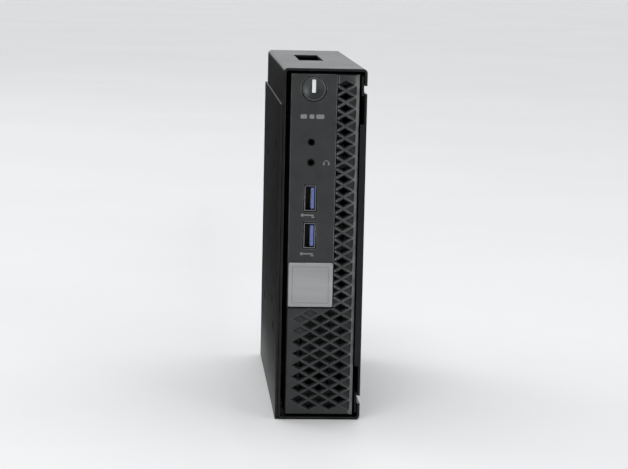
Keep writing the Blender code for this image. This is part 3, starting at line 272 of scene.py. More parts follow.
def bore(obj, outline, face, end, flare, axis="Y"):  # a hole with a round lip at the face
    return combine(obj, lofted("tool", outline, holeStations(face, end, flare), axis))


def softCopy(node, name, width, angle=50):  # a CAD node's shape, merged, with its hard edges rounded
    edit = bmesh.new()
    edit.from_mesh(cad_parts[node].data)
    bmesh.ops.remove_doubles(edit, verts=edit.verts[:], dist=1e-6)
    bmesh.ops.dissolve_limit(edit, angle_limit=math.radians(0.5), verts=edit.verts[:], edges=edit.edges[:])
    mesh = bpy.data.meshes.new(name)
    edit.to_mesh(mesh)
    edit.free()
    obj = linked(name, mesh)
    bevel = obj.modifiers.new("edges", "BEVEL")
    bevel.width = width
    bevel.segments = 2
    bevel.limit_method = "ANGLE"
    bevel.angle_limit = math.radians(angle)
    bevel.use_clamp_overlap = False
    return obj


# Smooth up to the angle, with a finish, a body, a slot and the nodes that it replaces.
def dress(obj, body, slot, *nodes, finish=None, angle=38):
    obj.data.shade_smooth()
    obj.data.set_sharp_from_angle(angle=math.radians(angle))
    even = obj.modifiers.new("even", "WEIGHTED_NORMAL")
    even.keep_sharp = True
    even.weight = 90
    obj.data.materials.clear()
    obj.data.materials.append(finishes[finish or slot])
    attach(obj, body)
    if nodes:
        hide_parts(*nodes)
    return obj


# tone: darkest and lightest colour. patch, grain: sizes of the slow colour change and the fine texture, in mm.
# rough: least and most roughness. bump: depth of the grain. peel: size and depth of a slower ripple.
finishSettings = {
    "sleeve_steel": dict(tone=((0.0065, 0.0066, 0.0072), (0.0105, 0.0106, 0.0112)), patch=14, grain=0.45,
        rough=(0.37, 0.46), bump=0.014, peel=(1.7, 0.03), wearAndHighlight=(0.06, 0.06, 0.063), specular=0.2),
    "case_steel": dict(tone=((0.01, 0.01, 0.011), (0.016, 0.016, 0.017)), patch=11, grain=0.35,
        rough=(0.42, 0.58), bump=0.012, peel=(1.2, 0.01), wearAndHighlight=(0.12, 0.12, 0.125)),
    # bezel_plastic: its light edge colour is a painted highlight along the bezel's round edges, bar crowns and
    # right rim
    "bezel_plastic": dict(tone=((0.02, 0.0225, 0.023), (0.029, 0.032, 0.0325)), patch=6, grain=0.3,
        rough=(0.38, 0.56), bump=0.018, wearAndHighlight=(0.26, 0.265, 0.27), specular=0.42),
    "badge_metal": dict(tone=((0.36, 0.36, 0.365), (0.47, 0.47, 0.475)), patch=9, grain=0.35,
        rough=(0.3, 0.42), bump=0.003, metallic=1.0, stretch=(0.12, 1, 1), wearAndHighlight=(0.8, 0.8, 0.8)),
    # socket_metal: a darker nickel, partly the metal's own colour and partly painted shade for the deep socket
    # mouths
    "socket_metal": dict(tone=((0.19, 0.19, 0.195), (0.26, 0.26, 0.26)), patch=3, grain=0.5,
        rough=(0.24, 0.34), bump=0.004, metallic=1.0, stretch=(1, 0.25, 1)),
    "usb_blue": dict(tone=((0.1, 0.145, 0.36), (0.15, 0.2, 0.46)), patch=3, grain=0.3, rough=(0.32, 0.46),
        bump=0.006),
    "socket_plastic": dict(tone=((0.006, 0.006, 0.006), (0.014, 0.014, 0.014)), patch=3, grain=0.3,
        rough=(0.4, 0.6), bump=0.01),
    # button_plastic: its light edge colour is a painted highlight round the button's rim
    "button_plastic": dict(tone=((0.022, 0.0245, 0.025), (0.03, 0.033, 0.034)), patch=4, grain=0.3,
        rough=(0.24, 0.36), bump=0.006, wearAndHighlight=(0.2, 0.205, 0.21)),
    "rubber": dict(tone=((0.009, 0.009, 0.009), (0.022, 0.021, 0.02)), patch=4, grain=0.5,
        rough=(0.78, 0.95), bump=0.03),
    "board_green": dict(tone=((0.003, 0.03, 0.014), (0.006, 0.05, 0.023)), patch=9, grain=0.4,
        rough=(0.28, 0.42), bump=0.006, traces=(0.01, 0.075, 0.034)),
    "chip_black": dict(tone=((0.01, 0.01, 0.011), (0.02, 0.02, 0.021)), patch=5, grain=0.3,
        rough=(0.38, 0.55), bump=0.01),
    "bare_aluminium": dict(tone=((0.5, 0.5, 0.51), (0.72, 0.72, 0.73)), patch=4, grain=0.4,
        rough=(0.26, 0.44), bump=0.006, metallic=1.0, stretch=(1, 0.08, 1)),
    "zinc_steel": dict(tone=((0.34, 0.34, 0.35), (0.6, 0.6, 0.58)), patch=5, grain=1.2, rough=(0.28, 0.5),
        bump=0.004, metallic=1.0),
    "black_screw": dict(tone=((0.01, 0.01, 0.011), (0.024, 0.024, 0.025)), patch=2, grain=0.3,
        rough=(0.24, 0.4), bump=0.006, metallic=0.7, wearAndHighlight=(0.3, 0.3, 0.3)),
    "caddy_blue": dict(tone=((0.015, 0.08, 0.27), (0.025, 0.11, 0.36)), patch=7, grain=0.35,
        rough=(0.38, 0.55), bump=0.012),
    "light_clear": dict(tone=((0.62, 0.65, 0.68), (0.74, 0.76, 0.78)), patch=1.5, grain=0.3,
        rough=(0.18, 0.3), bump=0.002, glow=0.14),
    "printed_mark": dict(tone=((0.17, 0.175, 0.175), (0.27, 0.275, 0.275)), patch=0.8, grain=0.2,
        rough=(0.5, 0.65), bump=0.002),
    "gold_contact": dict(tone=((0.62, 0.42, 0.14), (0.8, 0.58, 0.22)), patch=1.5, grain=0.3,
        rough=(0.18, 0.32), bump=0.002, metallic=1.0),
}


traceSettings = inMetres(pitch=3.1) | dict(spacing=0.11, edge=(0.045, 0.065))


def withInputs(node, values):
    for name, value in values.items():
        node.inputs[name].default_value = value
    return node


def makeFinish(name, tone, patch, grain, rough, bump, peel=None, metallic=0.0, stretch=None, wearAndHighlight=None,
               traces=None, glow=None, specular=0.5):
    material = bpy.data.materials.new(name + "_finish")
    material.use_nodes = True
    nodes, links = material.node_tree.nodes, material.node_tree.links
    shader = withInputs(nodes["Principled BSDF"], {"Metallic": metallic, "Specular IOR Level": specular})
    where = nodes.new("ShaderNodeTexCoord").outputs["Object"]
    if stretch:  # brushed and drawn metal: the pattern runs long on one axis
        mapping = withInputs(nodes.new("ShaderNodeMapping"), {"Scale": stretch})
        links.new(where, mapping.inputs["Vector"])
        where = mapping.outputs["Vector"]

    def noise(size, detail, roughness=0.5):
        values = {"Scale": 1 / (size * mm), "Detail": detail, "Roughness": roughness}
        node = withInputs(nodes.new("ShaderNodeTexNoise"), values)
        links.new(where, node.inputs["Vector"])
        return node.outputs["Fac"]

    def ranged(value, low, high, fromLow=0.3, fromHigh=0.7):
        values = {"From Min": fromLow, "From Max": fromHigh, "To Min": low, "To Max": high}
        node = withInputs(nodes.new("ShaderNodeMapRange"), values)
        links.new(value, node.inputs["Value"])
        return node.outputs["Result"]

    def mixed(share, one, other):  # one and other are colours or sockets
        node = nodes.new("ShaderNodeMix")
        node.data_type = "RGBA"
        links.new(share, node.inputs[0])
        for socket, value in ((node.inputs[6], one), (node.inputs[7], other)):
            if isinstance(value, tuple):
                socket.default_value = (*value, 1)
            else:
                links.new(value, socket)
        return node.outputs[2]

    slow = noise(patch, 4, 0.6)
    fine = noise(grain, 3, 0.55)
    colour = mixed(ranged(slow, 0, 1), *tone)
    if traces:  # copper runs under the green coat, and the bare pads on it
        cells = withInputs(nodes.new("ShaderNodeTexVoronoi"), {"Scale": 1 / traceSettings["pitch"]})
        cells.distance = "MANHATTAN"
        links.new(where, cells.inputs["Vector"])
        stripes = nodes.new("ShaderNodeMath")
        stripes.operation = "PINGPONG"
        stripes.inputs[1].default_value = traceSettings["spacing"]
        links.new(cells.outputs["Distance"], stripes.inputs[0])
        colour = mixed(ranged(stripes.outputs[0], 0, 1, *traceSettings["edge"]), colour, traces)
    if wearAndHighlight:  # edges lighter, more in some places than others: rubbing on the metal parts and screws, painted highlight on the bezel and button
        edge = nodes.new("ShaderNodeAttribute")
        edge.attribute_name = "edgeWearAndHighlight"
        wornAndLit = nodes.new("ShaderNodeMath")
        wornAndLit.operation = "MULTIPLY"
        links.new(edge.outputs["Fac"], wornAndLit.inputs[0])
        links.new(ranged(slow, 0.2, 0.8), wornAndLit.inputs[1])
        colour = mixed(wornAndLit.outputs[0], colour, wearAndHighlight)
    links.new(colour, shader.inputs["Base Color"])
    smear = nodes.new("ShaderNodeMath")
    smear.operation = "ADD"
    links.new(ranged(slow, 0, (rough[1] - rough[0]) * 0.6), smear.inputs[0])
    links.new(ranged(fine, rough[0], rough[1] - (rough[1] - rough[0]) * 0.6), smear.inputs[1])
    links.new(smear.outputs[0], shader.inputs["Roughness"])
    relief = withInputs(nodes.new("ShaderNodeBump"), {"Strength": 0.6, "Distance": bump * mm})
    links.new(fine, relief.inputs["Height"])
    if peel:
        ripple = withInputs(nodes.new("ShaderNodeBump"), {"Strength": 0.5, "Distance": peel[1] * mm})
        links.new(noise(peel[0], 2), ripple.inputs["Height"])
        links.new(ripple.outputs["Normal"], relief.inputs["Normal"])
    links.new(relief.outputs["Normal"], shader.inputs["Normal"])
    if glow:
        withInputs(shader, {"Emission Color": (0.93, 0.97, 1.0, 1), "Emission Strength": glow})
    return material


finishes = {name: makeFinish(name, **settings) for name, settings in finishSettings.items()}
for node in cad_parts.values():
    for place in node.material_slots:
        place.material = finishes[place.material.name]
print("stage: finishes made")


sleeveSettings = inMetres(sheet=1.3, bend=1.0, edge=0.22, returnHeight=8.9, tabWidth=16, tabDrop=14.5,
    stopRise=6.0, tabCorner=1.2, tabSet=0.02, windowWidth=13.6, windowLength=56, windowFromLeft=12.4,
    windowFromFront=72, windowCorner=0.9, screwHole=1.5, headHole=2.7, seatRise=0.3, thumbHole=1.9,
    mountSpacings=(100, 75), mountHole=2.5, holeLip=0.18, plateCorner=1.0) | dict(bendSteps=9)


def mountHoles(centreY, centreZ, start, end):  # the two squares of four holes of a flat display mount
    half = np.array(sleeveSettings["mountSpacings"])[:, None] / 2
    signs = np.array([(1, 1), (-1, 1), (-1, -1), (1, -1)])
    places = (half[:, :, None] * signs).reshape(-1, 2) + [centreY, centreZ]
    stations = holeStations(start, end, sleeveSettings["holeLip"])
    return loftedMany("mountHoles", places, roundOutline(0, 0, sleeveSettings["mountHole"], 32), stations, "X")


def buildSleeveWrap(centreY, centreZ):  # a folded channel with a tab and a stop at the rear, a window and holes
    s = sleeveSettings
    low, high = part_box("sleeve_wrap")
    half = s["sheet"] / 2
    left, right = low.x + half, high.x - half
    path = [(right, high.z - s["returnHeight"]), (right, high.z - half), (left, high.z - half),
            (left, low.z + half), (right, low.z + half), (right, low.z + s["returnHeight"])]
    outline = foldedOutline(path, s["sheet"], s["bend"], s["bendSteps"])
    wrap = lofted("sleeveWrap", outline, solidStations(low.y, high.y, s["edge"]), "Y")
    tabLeft = centreOf(low, high)[0] - s["tabWidth"] / 2
    front, rear = high.y - s["sheet"], high.y - s["tabSet"]
    tabFoot = high.z - s["sheet"] - s["tabDrop"]
    for bottom, top in ((tabFoot, high.z - half), (low.z + half, low.z + s["stopRise"])):
        ends = (tabLeft, front, bottom), (tabLeft + s["tabWidth"], rear, top)
        combine(wrap, slab("tab", *ends, "Y", s["tabCorner"], s["edge"]), "UNION")
    window = roundRect(low.x + s["windowFromLeft"] + s["windowWidth"] / 2,
                       low.y + s["windowFromFront"] + s["windowLength"] / 2,
                       s["windowWidth"], s["windowLength"], s["windowCorner"])
    bore(wrap, window, high.z, high.z - 2 * s["sheet"], s["holeLip"], "Z")
    places = [centreOf(*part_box(f"sleeve_screw_{n}"))[1:] for n in (1, 2, 3, 4)]
    inner = high.x - s["sheet"]
    cone = s["headHole"] - s["screwHole"]
    seat = [(0, high.x + past, 0), (0, high.x, 0), (cone, inner + s["seatRise"], 0), (cone, inner - past, 0)]
    combine(wrap, loftedMany("seats", places, roundOutline(0, 0, s["headHole"], 40), seat, "X"))
    x, _, z = centreOf(*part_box("sleeve_thumbscrew"))
    drill(wrap, roundOutline(x, z, s["thumbHole"], 32), front - past, high.y + past)
    combine(wrap, mountHoles(centreY, centreZ, low.x, low.x + 2 * s["sheet"]))
    dress(wrap, "sleeve", "sleeve_steel", "sleeve_wrap")


def buildDisplayPlate(centreY, centreZ):
    s = sleeveSettings
    low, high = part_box("display_plate")
    plate = slab("displaySidePlate", low, high, "X", s["plateCorner"], s["edge"])
    combine(plate, mountHoles(centreY, centreZ, low.x, high.x + past))
    dress(plate, "sleeve", "sleeve_steel", "display_plate")


flushSettings = inMetres(shank=1.2, tip=0.2, cone=1.1, rim=0.06, rimDepth=0.08, recess=(2.7, 0.62),
    recessCorner=0.12, recessDepth=0.75, recessTaper=0.1)


def buildSleeveScrews():  # countersunk: a shank, a cone and a flat head with a cross driven into it
    s = flushSettings
    for n in (1, 2, 3, 4):
        low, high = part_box(f"sleeve_screw_{n}")
        _, y, z = centreOf(low, high)
        head = (high.y - low.y) / 2
        shank = head - s["shank"]
        stations = [(shank + s["tip"], low.x, 0), (shank, low.x + s["tip"], 0), (shank, high.x - s["cone"], 0),
                    (s["rim"], high.x - s["rimDepth"], 0.5), (2 * s["rim"], high.x, 1)]
        screw = lofted(f"sleeveScrew{n}", roundOutline(y, z, head, 40), stations, "X")
        taper = [(s["recessTaper"], high.x - s["recessDepth"], 0), (0, high.x + past, 0)]
        for wide, tall in (s["recess"], s["recess"][::-1]):
            combine(screw, lofted("arm", roundRect(y, z, wide, tall, s["recessCorner"], 3), taper, "X"))
        dress(screw, "sleeve", "black_screw", f"sleeve_screw_{n}")


thumbSettings = inMetres(knurlDepth=0.34, edge=0.5, headLength=5.0, washer=0.6, washerEdge=0.1, shank=1.5,
    tip=0.5, threadStart=0.3, threadPitch=0.45, threadDepth=0.25, rootDepth=2, slotDepth=1.25,
    slotLength=6.3, slotWidth=1.5, slotCorner=0.2, slotTaper=0.05) | dict(knurls=20, washerShare=0.84,
    threads=9, crossShare=(0.8, 0.62))


def buildThumbscrew(name, node):  # a knurled head with a cross slot, a washer face and a threaded shank
    s = thumbSettings
    low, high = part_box(node)
    x, _, z = centreOf(low, high)
    radius = (high.x - low.x) / 2
    seat = high.y - s["headLength"]
    head = solidStations(seat + s["washer"], high.y, s["edge"])
    screw = turnedSolid(name, x, z, radius, head, s["knurls"] * 8, s["knurls"], s["knurlDepth"])
    washer = solidStations(seat, seat + 2 * s["washer"], s["washerEdge"], 2)
    combine(screw, lofted("washer", roundOutline(x, z, radius * s["washerShare"]), washer, "Y"), "UNION")
    thread = [(s["threadDepth"] * (k % 2), low.y + s["threadStart"] + s["threadPitch"] * k, 0)
              for k in range(s["threads"])]
    stations = [(s["tip"], low.y, 0), *thread, (0, seat + s["rootDepth"], 0)]
    combine(screw, lofted("shank", roundOutline(x, z, s["shank"], 32), stations, "Y"), "UNION")
    taper = [(s["slotTaper"], high.y - s["slotDepth"], 0), (0, high.y + past, 0)]
    cross = s["slotWidth"] * s["crossShare"][0], s["slotLength"] * s["crossShare"][1]
    for wide, tall in ((s["slotLength"], s["slotWidth"]), cross):
        combine(screw, lofted("slot", roundRect(x, z, wide, tall, s["slotCorner"], 3), taper, "Y"))
    dress(screw, node, "black_screw", node)


centreY = centreOf(*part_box("sleeve_wrap"))[1]
centreZ = centreOf(*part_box("sleeve_plate"))[2]
buildSleeveWrap(centreY, centreZ)
buildDisplayPlate(centreY, centreZ)
buildSleeveScrews()
dress(softCopy("sleeve_plate", "armSidePlate", 0.2 * mm), "sleeve", "sleeve_steel", "sleeve_plate")
for part in ("sleeve", "cover"):
    buildThumbscrew(part + "Thumbscrew", part + "_thumbscrew")
for part in ("front", "rear"):
    pad = slab("sleevePad" + part.capitalize(), *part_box("sleeve_pad_" + part), "Z", 0.8 * mm, 0.15 * mm)
    dress(pad, "sleeve", "rubber", "sleeve_pad_" + part)
print("stage: sleeve built")


bezelSettings = inMetres(edge=0.8, face=2.2, wall=1.2, strip=11.7, seam=0.3, slopeWidth=2.3, slopeDepth=0.55)
ventSettings = inMetres(firstDrop=5.5, lastRise=7.9, columnInset=7.2, pitch=5.4, throatWidth=2.9,
    throatHeight=1.8, bar=0.9, taper=1.3, blind=1.0, outside=1.2, through=5, crown=0.26, rimWidth=1.55,
    rimReach=3) | dict(rows=28, blindThroat=0.6, swellRatio=1.7)
# Where the grille takes its painted highlight: faces between side and front, small crown faces, and a fade
# above the panel's foot.
grilleHighlightSettings = inMetres(fade=6) | dict(tilted=(0.12, 0.995), sloped=(0.96, 0.99), crownArea=1.3e-6,
    crown=(0.35, 1.0), rim=0.8)


# Vent centres on a lattice: column c stands c pitches in from the tall one, odd columns half a row lower.
def ventPlaces(width, height, panelLow):
    s = ventSettings
    rise = (height - s["firstDrop"] - s["lastRise"]) / (s["rows"] - 1)
    shareOff = 1 - s["bar"] / 2 * np.hypot(s["pitch"], rise / 2) / (s["pitch"] * rise / 2)
    mouth = np.array([s["pitch"], rise / 2]) * shareOff
    column, row = np.meshgrid(np.arange(-1, 5), np.arange(s["rows"] + 1), indexing="ij")
    x = width - s["columnInset"] - column * s["pitch"]
    z = s["lastRise"] + (row - 0.5 * (column % 2)) * rise
    margin = mouth[1] + bezelSettings["wall"] / 2
    top = np.where(column < 2, height, panelLow)
    kept = (z > margin) & (z < top - margin)
    shallow = (column == -1) | ((column > 2) & (z > panelLow - (column - 1.5) * rise))
    shallow = shallow | ((column == 1) & (np.abs(z - panelLow) < rise / 2))
    return np.stack([x, z], axis=-1)[kept], shallow[kept], mouth


# One diamond per vent: ring k has half sizes h_k at depth y_k, and the first rings swell over the bars' crown.
def ventCutters(name, places, mouth, face, through):
    s = ventSettings
    turn = np.linspace(np.pi / 2, 0, 4)
    lip = mouth + s["crown"] * (1 - np.cos(turn))[:, None] * [s["swellRatio"], 1]
    lipDepth = face + s["crown"] * (1 - np.sin(turn)) - sliver
    throat = np.array([[s["throatWidth"], s["throatHeight"]]])
    floor = face + s["crown"]
    if through:
        last, lastDepth = np.repeat(throat, 2, axis=0), [floor + s["taper"], face + s["through"]]
    else:
        last, lastDepth = throat * s["blindThroat"], [floor + s["blind"]]
    half = np.concatenate([lip[:1], lip, last])
    depth = np.concatenate([[face - s["outside"]], lipDepth, lastDepth])
    corner = np.array([(1, 0), (0, 1), (-1, 0), (0, -1)], float)
    flat = places[:, None, None, :] + half[None, :, None, :] * corner[None, None]
    return skinned(name, across(flat, depth[None, :, None], "Y"))


def buildGrille():  # an L-shaped shell, hollow behind, cut by the vents and sloped along its right edge
    b, v = bezelSettings, ventSettings
    low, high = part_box("front_grille")
    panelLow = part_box("port_panel")[0].z
    left = high.x - b["strip"] + b["seam"]
    top = panelLow - b["seam"]
    outline = np.array([(low.x, low.z), (high.x, low.z), (high.x, high.z),
                        (left, high.z), (left, top), (low.x, top)])
    grille = lofted("frontGrille", outline, solidStations(high.y, low.y, b["edge"], 6), "Y")
    drill(grille, movedIn(outline, b["wall"]), low.y + b["face"], high.y + past)
    places, shallow, mouth = ventPlaces(high.x - low.x, high.z - low.z, panelLow - low.z)
    places = places + [low.x, low.z]
    combine(grille, ventCutters("openVents", places[~shallow], mouth, low.y, True))
    blind = ventCutters("blindVents", places[shallow], mouth, low.y, False)
    reach = boxOutline((low.x, low.z), (high.x - v["rimWidth"], high.z))  # leaves a plain rim on the right
    drill(blind, reach, low.y - v["rimReach"], low.y + v["rimReach"], operation="INTERSECT")
    combine(grille, blind)
    start, drop = high.x - b["slopeWidth"], b["slopeDepth"]  # the face falls away along its right edge
    wedge = np.array([(start, low.y - sliver / 2), (start, low.y - past), (high.x + past, low.y - past),
                      (high.x + past, low.y + drop * (1 + past / b["slopeWidth"]))])
    drill(grille, wedge, low.z - past, high.z + past, "Z")
    # painted highlight on the bars' crowns and the right rim, brighter above the panel's foot
    paintGrilleHighlights(grille, low.y, panelLow)
    dress(grille, "computer", "bezel_plastic", "front_grille", angle=19)


# Painted highlight by face: narrow faces over the bars and round the rim are painted lighter, where |n.y| is
# between side and front, and more so above the panel's foot than below, as if more light fell there.
def paintGrilleHighlights(obj, front, panelLow):
    s = grilleHighlightSettings
    mesh = obj.data
    count = len(mesh.polygons)
    normal, centre, area = np.zeros(count * 3), np.zeros(count * 3), np.zeros(count)
    for name, values in (("normal", normal), ("center", centre), ("area", area)):
        mesh.polygons.foreach_get(name, values)
    facing = np.abs(normal.reshape(-1, 3)[:, 1])
    centre = centre.reshape(-1, 3)
    tilted = (facing > s["tilted"][0]) & (facing < s["tilted"][1])
    tilted = tilted & (centre[:, 1] < front + bezelSettings["edge"])
    sloped = (facing > s["sloped"][0]) & (facing < s["sloped"][1])
    upper = np.clip((centre[:, 2] - panelLow) / s["fade"] + 1, 0, 1)
    crown = s["crown"][0] + (s["crown"][1] - s["crown"][0]) * upper
    # crown faces and rim faces take the painted highlight
    wearAndHighlight = np.where(tilted & (area < s["crownArea"]), crown, 0) + np.where(tilted & sloped, s["rim"] * upper, 0)
    mesh.attributes.remove(mesh.attributes["edgeWearAndHighlight"])
    wearAndHighlight = np.clip(wearAndHighlight, 0, 1).astype(np.float32)
    mesh.attributes.new("edgeWearAndHighlight", "FLOAT", "FACE").data.foreach_set("value", wearAndHighlight)


panelSettings = inMetres(corner=0.5, edge=0.38, cut=5, buttonRoom=0.3, jackRoom=0.3, jackFlare=0.3, usbRoom=1.0,
    usbCorner=0.6, usbFlare=0.25)


def buildPortPanel():  # a flat tray, hollow behind, with lipped holes for the button, jacks and sockets
    b, s = bezelSettings, panelSettings
    low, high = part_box("port_panel")
    outline = roundBox(low, high, "Y", s["corner"], 4)
    panel = lofted("portPanel", outline, solidStations(high.y, low.y, s["edge"], 4), "Y")
    hollow = boxOutline((low.x + b["wall"], low.z + b["wall"]), (high.x - b["wall"], high.z - b["wall"]))
    drill(panel, hollow, low.y + b["face"], high.y + past)
    x, z = buttonPlace()
    end = low.y + s["cut"]
    recess = roundOutline(x, z, buttonSettings["radius"] + s["buttonRoom"], 72)
    bore(panel, recess, low.y, end, buttonSettings["flare"])
    for node in ("audio_jack_upper", "audio_jack_lower"):
        hole = roundOutline(*jackPlace(node), jackSettings["bore"] + s["jackRoom"], 40)
        bore(panel, hole, low.y, end, s["jackFlare"])
    for node in ("usb_front_upper_shell", "usb_front_lower_shell"):
        hole = roundBox(*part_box(node), "Y", s["usbCorner"], 5, s["usbRoom"])
        bore(panel, hole, low.y, end, s["usbFlare"])
    dress(panel, "computer", "bezel_plastic", "port_panel")


buttonSettings = inMetres(radius=6.3, dish=1.0, rim=0.7, flare=0.5, sideInset=0.1, depth=3.4, slotGap=0.12,
    slotDepth=1.6, slotCorner=0.45, rod=2.0, rodStart=3.2, keeper=(2.5, 3.5), keeperHeight=3.0,
    keeperCorner=0.4, barCorner=0.4, barEdge=0.16, barLeft=1.0)
jackSettings = inMetres(bore=1.75, corner=0.3, edge=0.2, collar=0.2, collarEdge=0.15, set=0.5, depth=12,
    spring=0.25, springRoom=0.03, springPlaces=(2.6, 2.0)) | dict(steps=40)


def buttonPlace():
    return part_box("power_light")[0].x + buttonSettings["barLeft"], centreOf(*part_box("power_button"))[2]


def jackPlace(node):
    low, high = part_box(node)
    return low.x + (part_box("usb_front_upper_shell")[1].x - low.x) / 2, (low.z + high.z) / 2


# The button's skin: radius runs in from the side over the rim, then the face sinks by dish (1 - (r/R)^2)^1.2.
def buildButton():
    s = buttonSettings
    x, z = buttonPlace()
    low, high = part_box("power_button")
    lightLow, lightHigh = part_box("power_light")
    face = low.y
    # the rim's edge values paint a highlight round the button's edge
    rim = edgeSteps(s["rim"], 5) + [0, face, 0]
    share = np.linspace(1, 0.06, 12)[1:]
    inner = (s["radius"] - s["rim"]) * share
    dished = np.stack([s["radius"] - inner, face + s["dish"] * (1 - share ** 2) ** 1.2, share * 0], axis=1)
    side = [(s["sideInset"], face + s["depth"], 0)]
    stations = np.concatenate([side, rim, dished])
    cap = lofted("powerButtonCap", roundOutline(x, z, s["radius"], 96), stations, "Y")
    width, height = lightHigh.x - lightLow.x, lightHigh.z - lightLow.z
    barZ = (lightLow.z + lightHigh.z) / 2
    slot = roundRect(x, barZ, width + 2 * s["slotGap"], height + 2 * s["slotGap"], s["slotCorner"], 4)
    drill(cap, slot, face - past, face + s["slotDepth"])
    drill(cap, roundOutline(x, z, s["rod"], 32), face + s["rodStart"], high.y, operation="UNION")
    keeper = roundRect(x, z, high.x - low.x, s["keeperHeight"], s["keeperCorner"], 3)
    drill(cap, keeper, face + s["keeper"][0], face + s["keeper"][1], operation="UNION")
    dress(cap, "power_button", "button_plastic", "power_button")
    bar = roundRect(x, barZ, width, height, s["barCorner"], 5)
    light = lofted("powerLightBar", bar, solidStations(lightHigh.y, lightLow.y, s["barEdge"], 3), "Y")
    dress(light, "power_button", "light_clear", "power_light")


def buildJack(node, name):  # a block with a collar in front, a round bore, and a sprung ring inside
    s = jackSettings
    low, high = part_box(node)
    x, z = jackPlace(node)
    body = slab(name, low, high, "Y", s["corner"], s["edge"])
    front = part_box("port_panel")[0].y + s["set"]
    collar = solidStations(low.y + past, front, s["collarEdge"], 2)
    circle = roundOutline(x, z, s["bore"] + s["collar"], s["steps"])
    combine(body, lofted("collar", circle, collar, "Y"), "UNION")
    drill(body, roundOutline(x, z, s["bore"], s["steps"]), front - past, low.y + s["depth"])
    dress(body, "computer", "socket_plastic", node)
    outer = s["bore"] - s["springRoom"]
    near, far = s["springPlaces"]
    spring = thinTube(name + "Spring", x, z, outer, outer - s["spring"], front + near, front + far, s["steps"])
    # the metal spring takes a black finish: painted shade deep in the jack's bore
    dress(spring, "computer", "socket_metal", finish="chip_black")


usbSettings = inMetres(wall=0.5, lip=0.12, corner=0.5, cavity=13, tongueCorner=0.25, tongueEdge=0.3,
    backLeft=2.4, backRise=0.9, backOver=0.5, backThickness=0.4, contactPitch=2.0, contactStart=1.0,
    contactSize=(6.0, 0.9), contactLift=(0.05, 0.12)) | dict(contacts=5)


# A row of thin blades: the same rounded strip at equal steps along z, between two places on x.
def contactRow(name, ends, middle, count, pitch, centre, size, corner, edge):
    steps = (np.arange(count) - (count - 1) / 2) * pitch
    places = np.stack([np.full(count, centre), middle + steps], axis=1)
    blades = loftedMany(name, places, roundRect(0, 0, *size, corner, 3), solidStations(*ends, edge, 2), "X")
    dress(blades, "computer", "socket_metal", finish="gold_contact")


def buildFrontUsb(part):  # a steel cup, a blue tongue with contacts under it, and an insulator at the back
    s = usbSettings
    name = "usb" + part.capitalize()
    low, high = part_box(f"usb_front_{part}_shell")
    stations = cupStations(high.y, low.y, s["wall"], low.y + s["cavity"], s["lip"])
    shell = lofted(name + "Shell", roundBox(low, high, "Y", s["corner"], 5), stations, "Y")
    dress(shell, "computer", "socket_metal", f"usb_front_{part}_shell")
    low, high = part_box(f"usb_front_{part}_tongue")
    tongue = slab(name + "Tongue", low, high, "Y", s["tongueCorner"], s["tongueEdge"])
    dress(tongue, "computer", "usb_blue", f"usb_front_{part}_tongue")
    start = low.y + s["cavity"] - s["backRise"]
    back = (low.x - s["backLeft"], start, low.z - s["backOver"])
    end = (high.x, start + s["backThickness"], high.z + s["backOver"])
    dress(slab(name + "Insulator", back, end, "Y", 0.2 * mm, 0.05 * mm), "computer", "socket_plastic")
    lift = (low.x + s["contactLift"][0], low.x - s["contactLift"][1])
    centre = low.y + s["contactStart"] + s["contactSize"][0] / 2
    contactRow(name + "Contacts", lift, (low.z + high.z) / 2, s["contacts"], s["contactPitch"], centre,
               s["contactSize"], 0.2 * mm, 0.05 * mm)


badgeSettings = inMetres(corner=0.7, edge=0.16, border=1.9, groove=0.42, grooveDepth=0.16)


# A square plate; the section (inset, depth) of a groove is carried round it and cut away, as a plain border.
def buildBadge():
    s = badgeSettings
    low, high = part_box("badge")
    badge = lofted("badgePlate", roundBox(low, high, "Y", s["corner"], 5),
                   solidStations(high.y, low.y, s["edge"], 3), "Y")
    near, far, slope = s["border"], s["border"] + s["groove"], s["groove"] / 4
    floor = low.y + s["grooveDepth"]
    section = np.array([(near, low.y - past), (near, low.y - sliver), (near + slope, floor),
                        (far - slope, floor), (far, low.y - sliver), (far, low.y - past)])
    square = boxOutline((low.x, low.z), (high.x, high.z))
    rings = np.stack([movedIn(square, inset) for inset in section[:, 0]])
    combine(badge, ringSolid("groove", across(rings, section[:, 1, None], "Y")))
    dress(badge, "computer", "badge_metal", "badge", angle=30)


# Printed marks in mm, plain bars and dots: across from the panel's left, down from its top, width, height.
markBars = ((6.9, 22.4, 3.4, 2.3), (11.2, 22.4, 2.6, 2.3), (15.6, 22.4, 4.2, 2.3),
            (10.4, 74.6, 5.6, 0.7), (7.2, 74.6, 1.5, 1.5), (12.8, 75.6, 1.6, 0.6),
            (10.4, 95.2, 5.6, 0.7), (7.2, 95.2, 1.5, 1.5), (12.8, 96.2, 1.6, 0.6),
            (18.0, 47.2, 0.8, 1.5), (20.6, 47.2, 0.8, 1.5))
markSettings = inMetres(thickness=0.03, sunk=0.05, bandCentre=(19.3, 46.9), bandRadius=1.5, bandWidth=0.35)


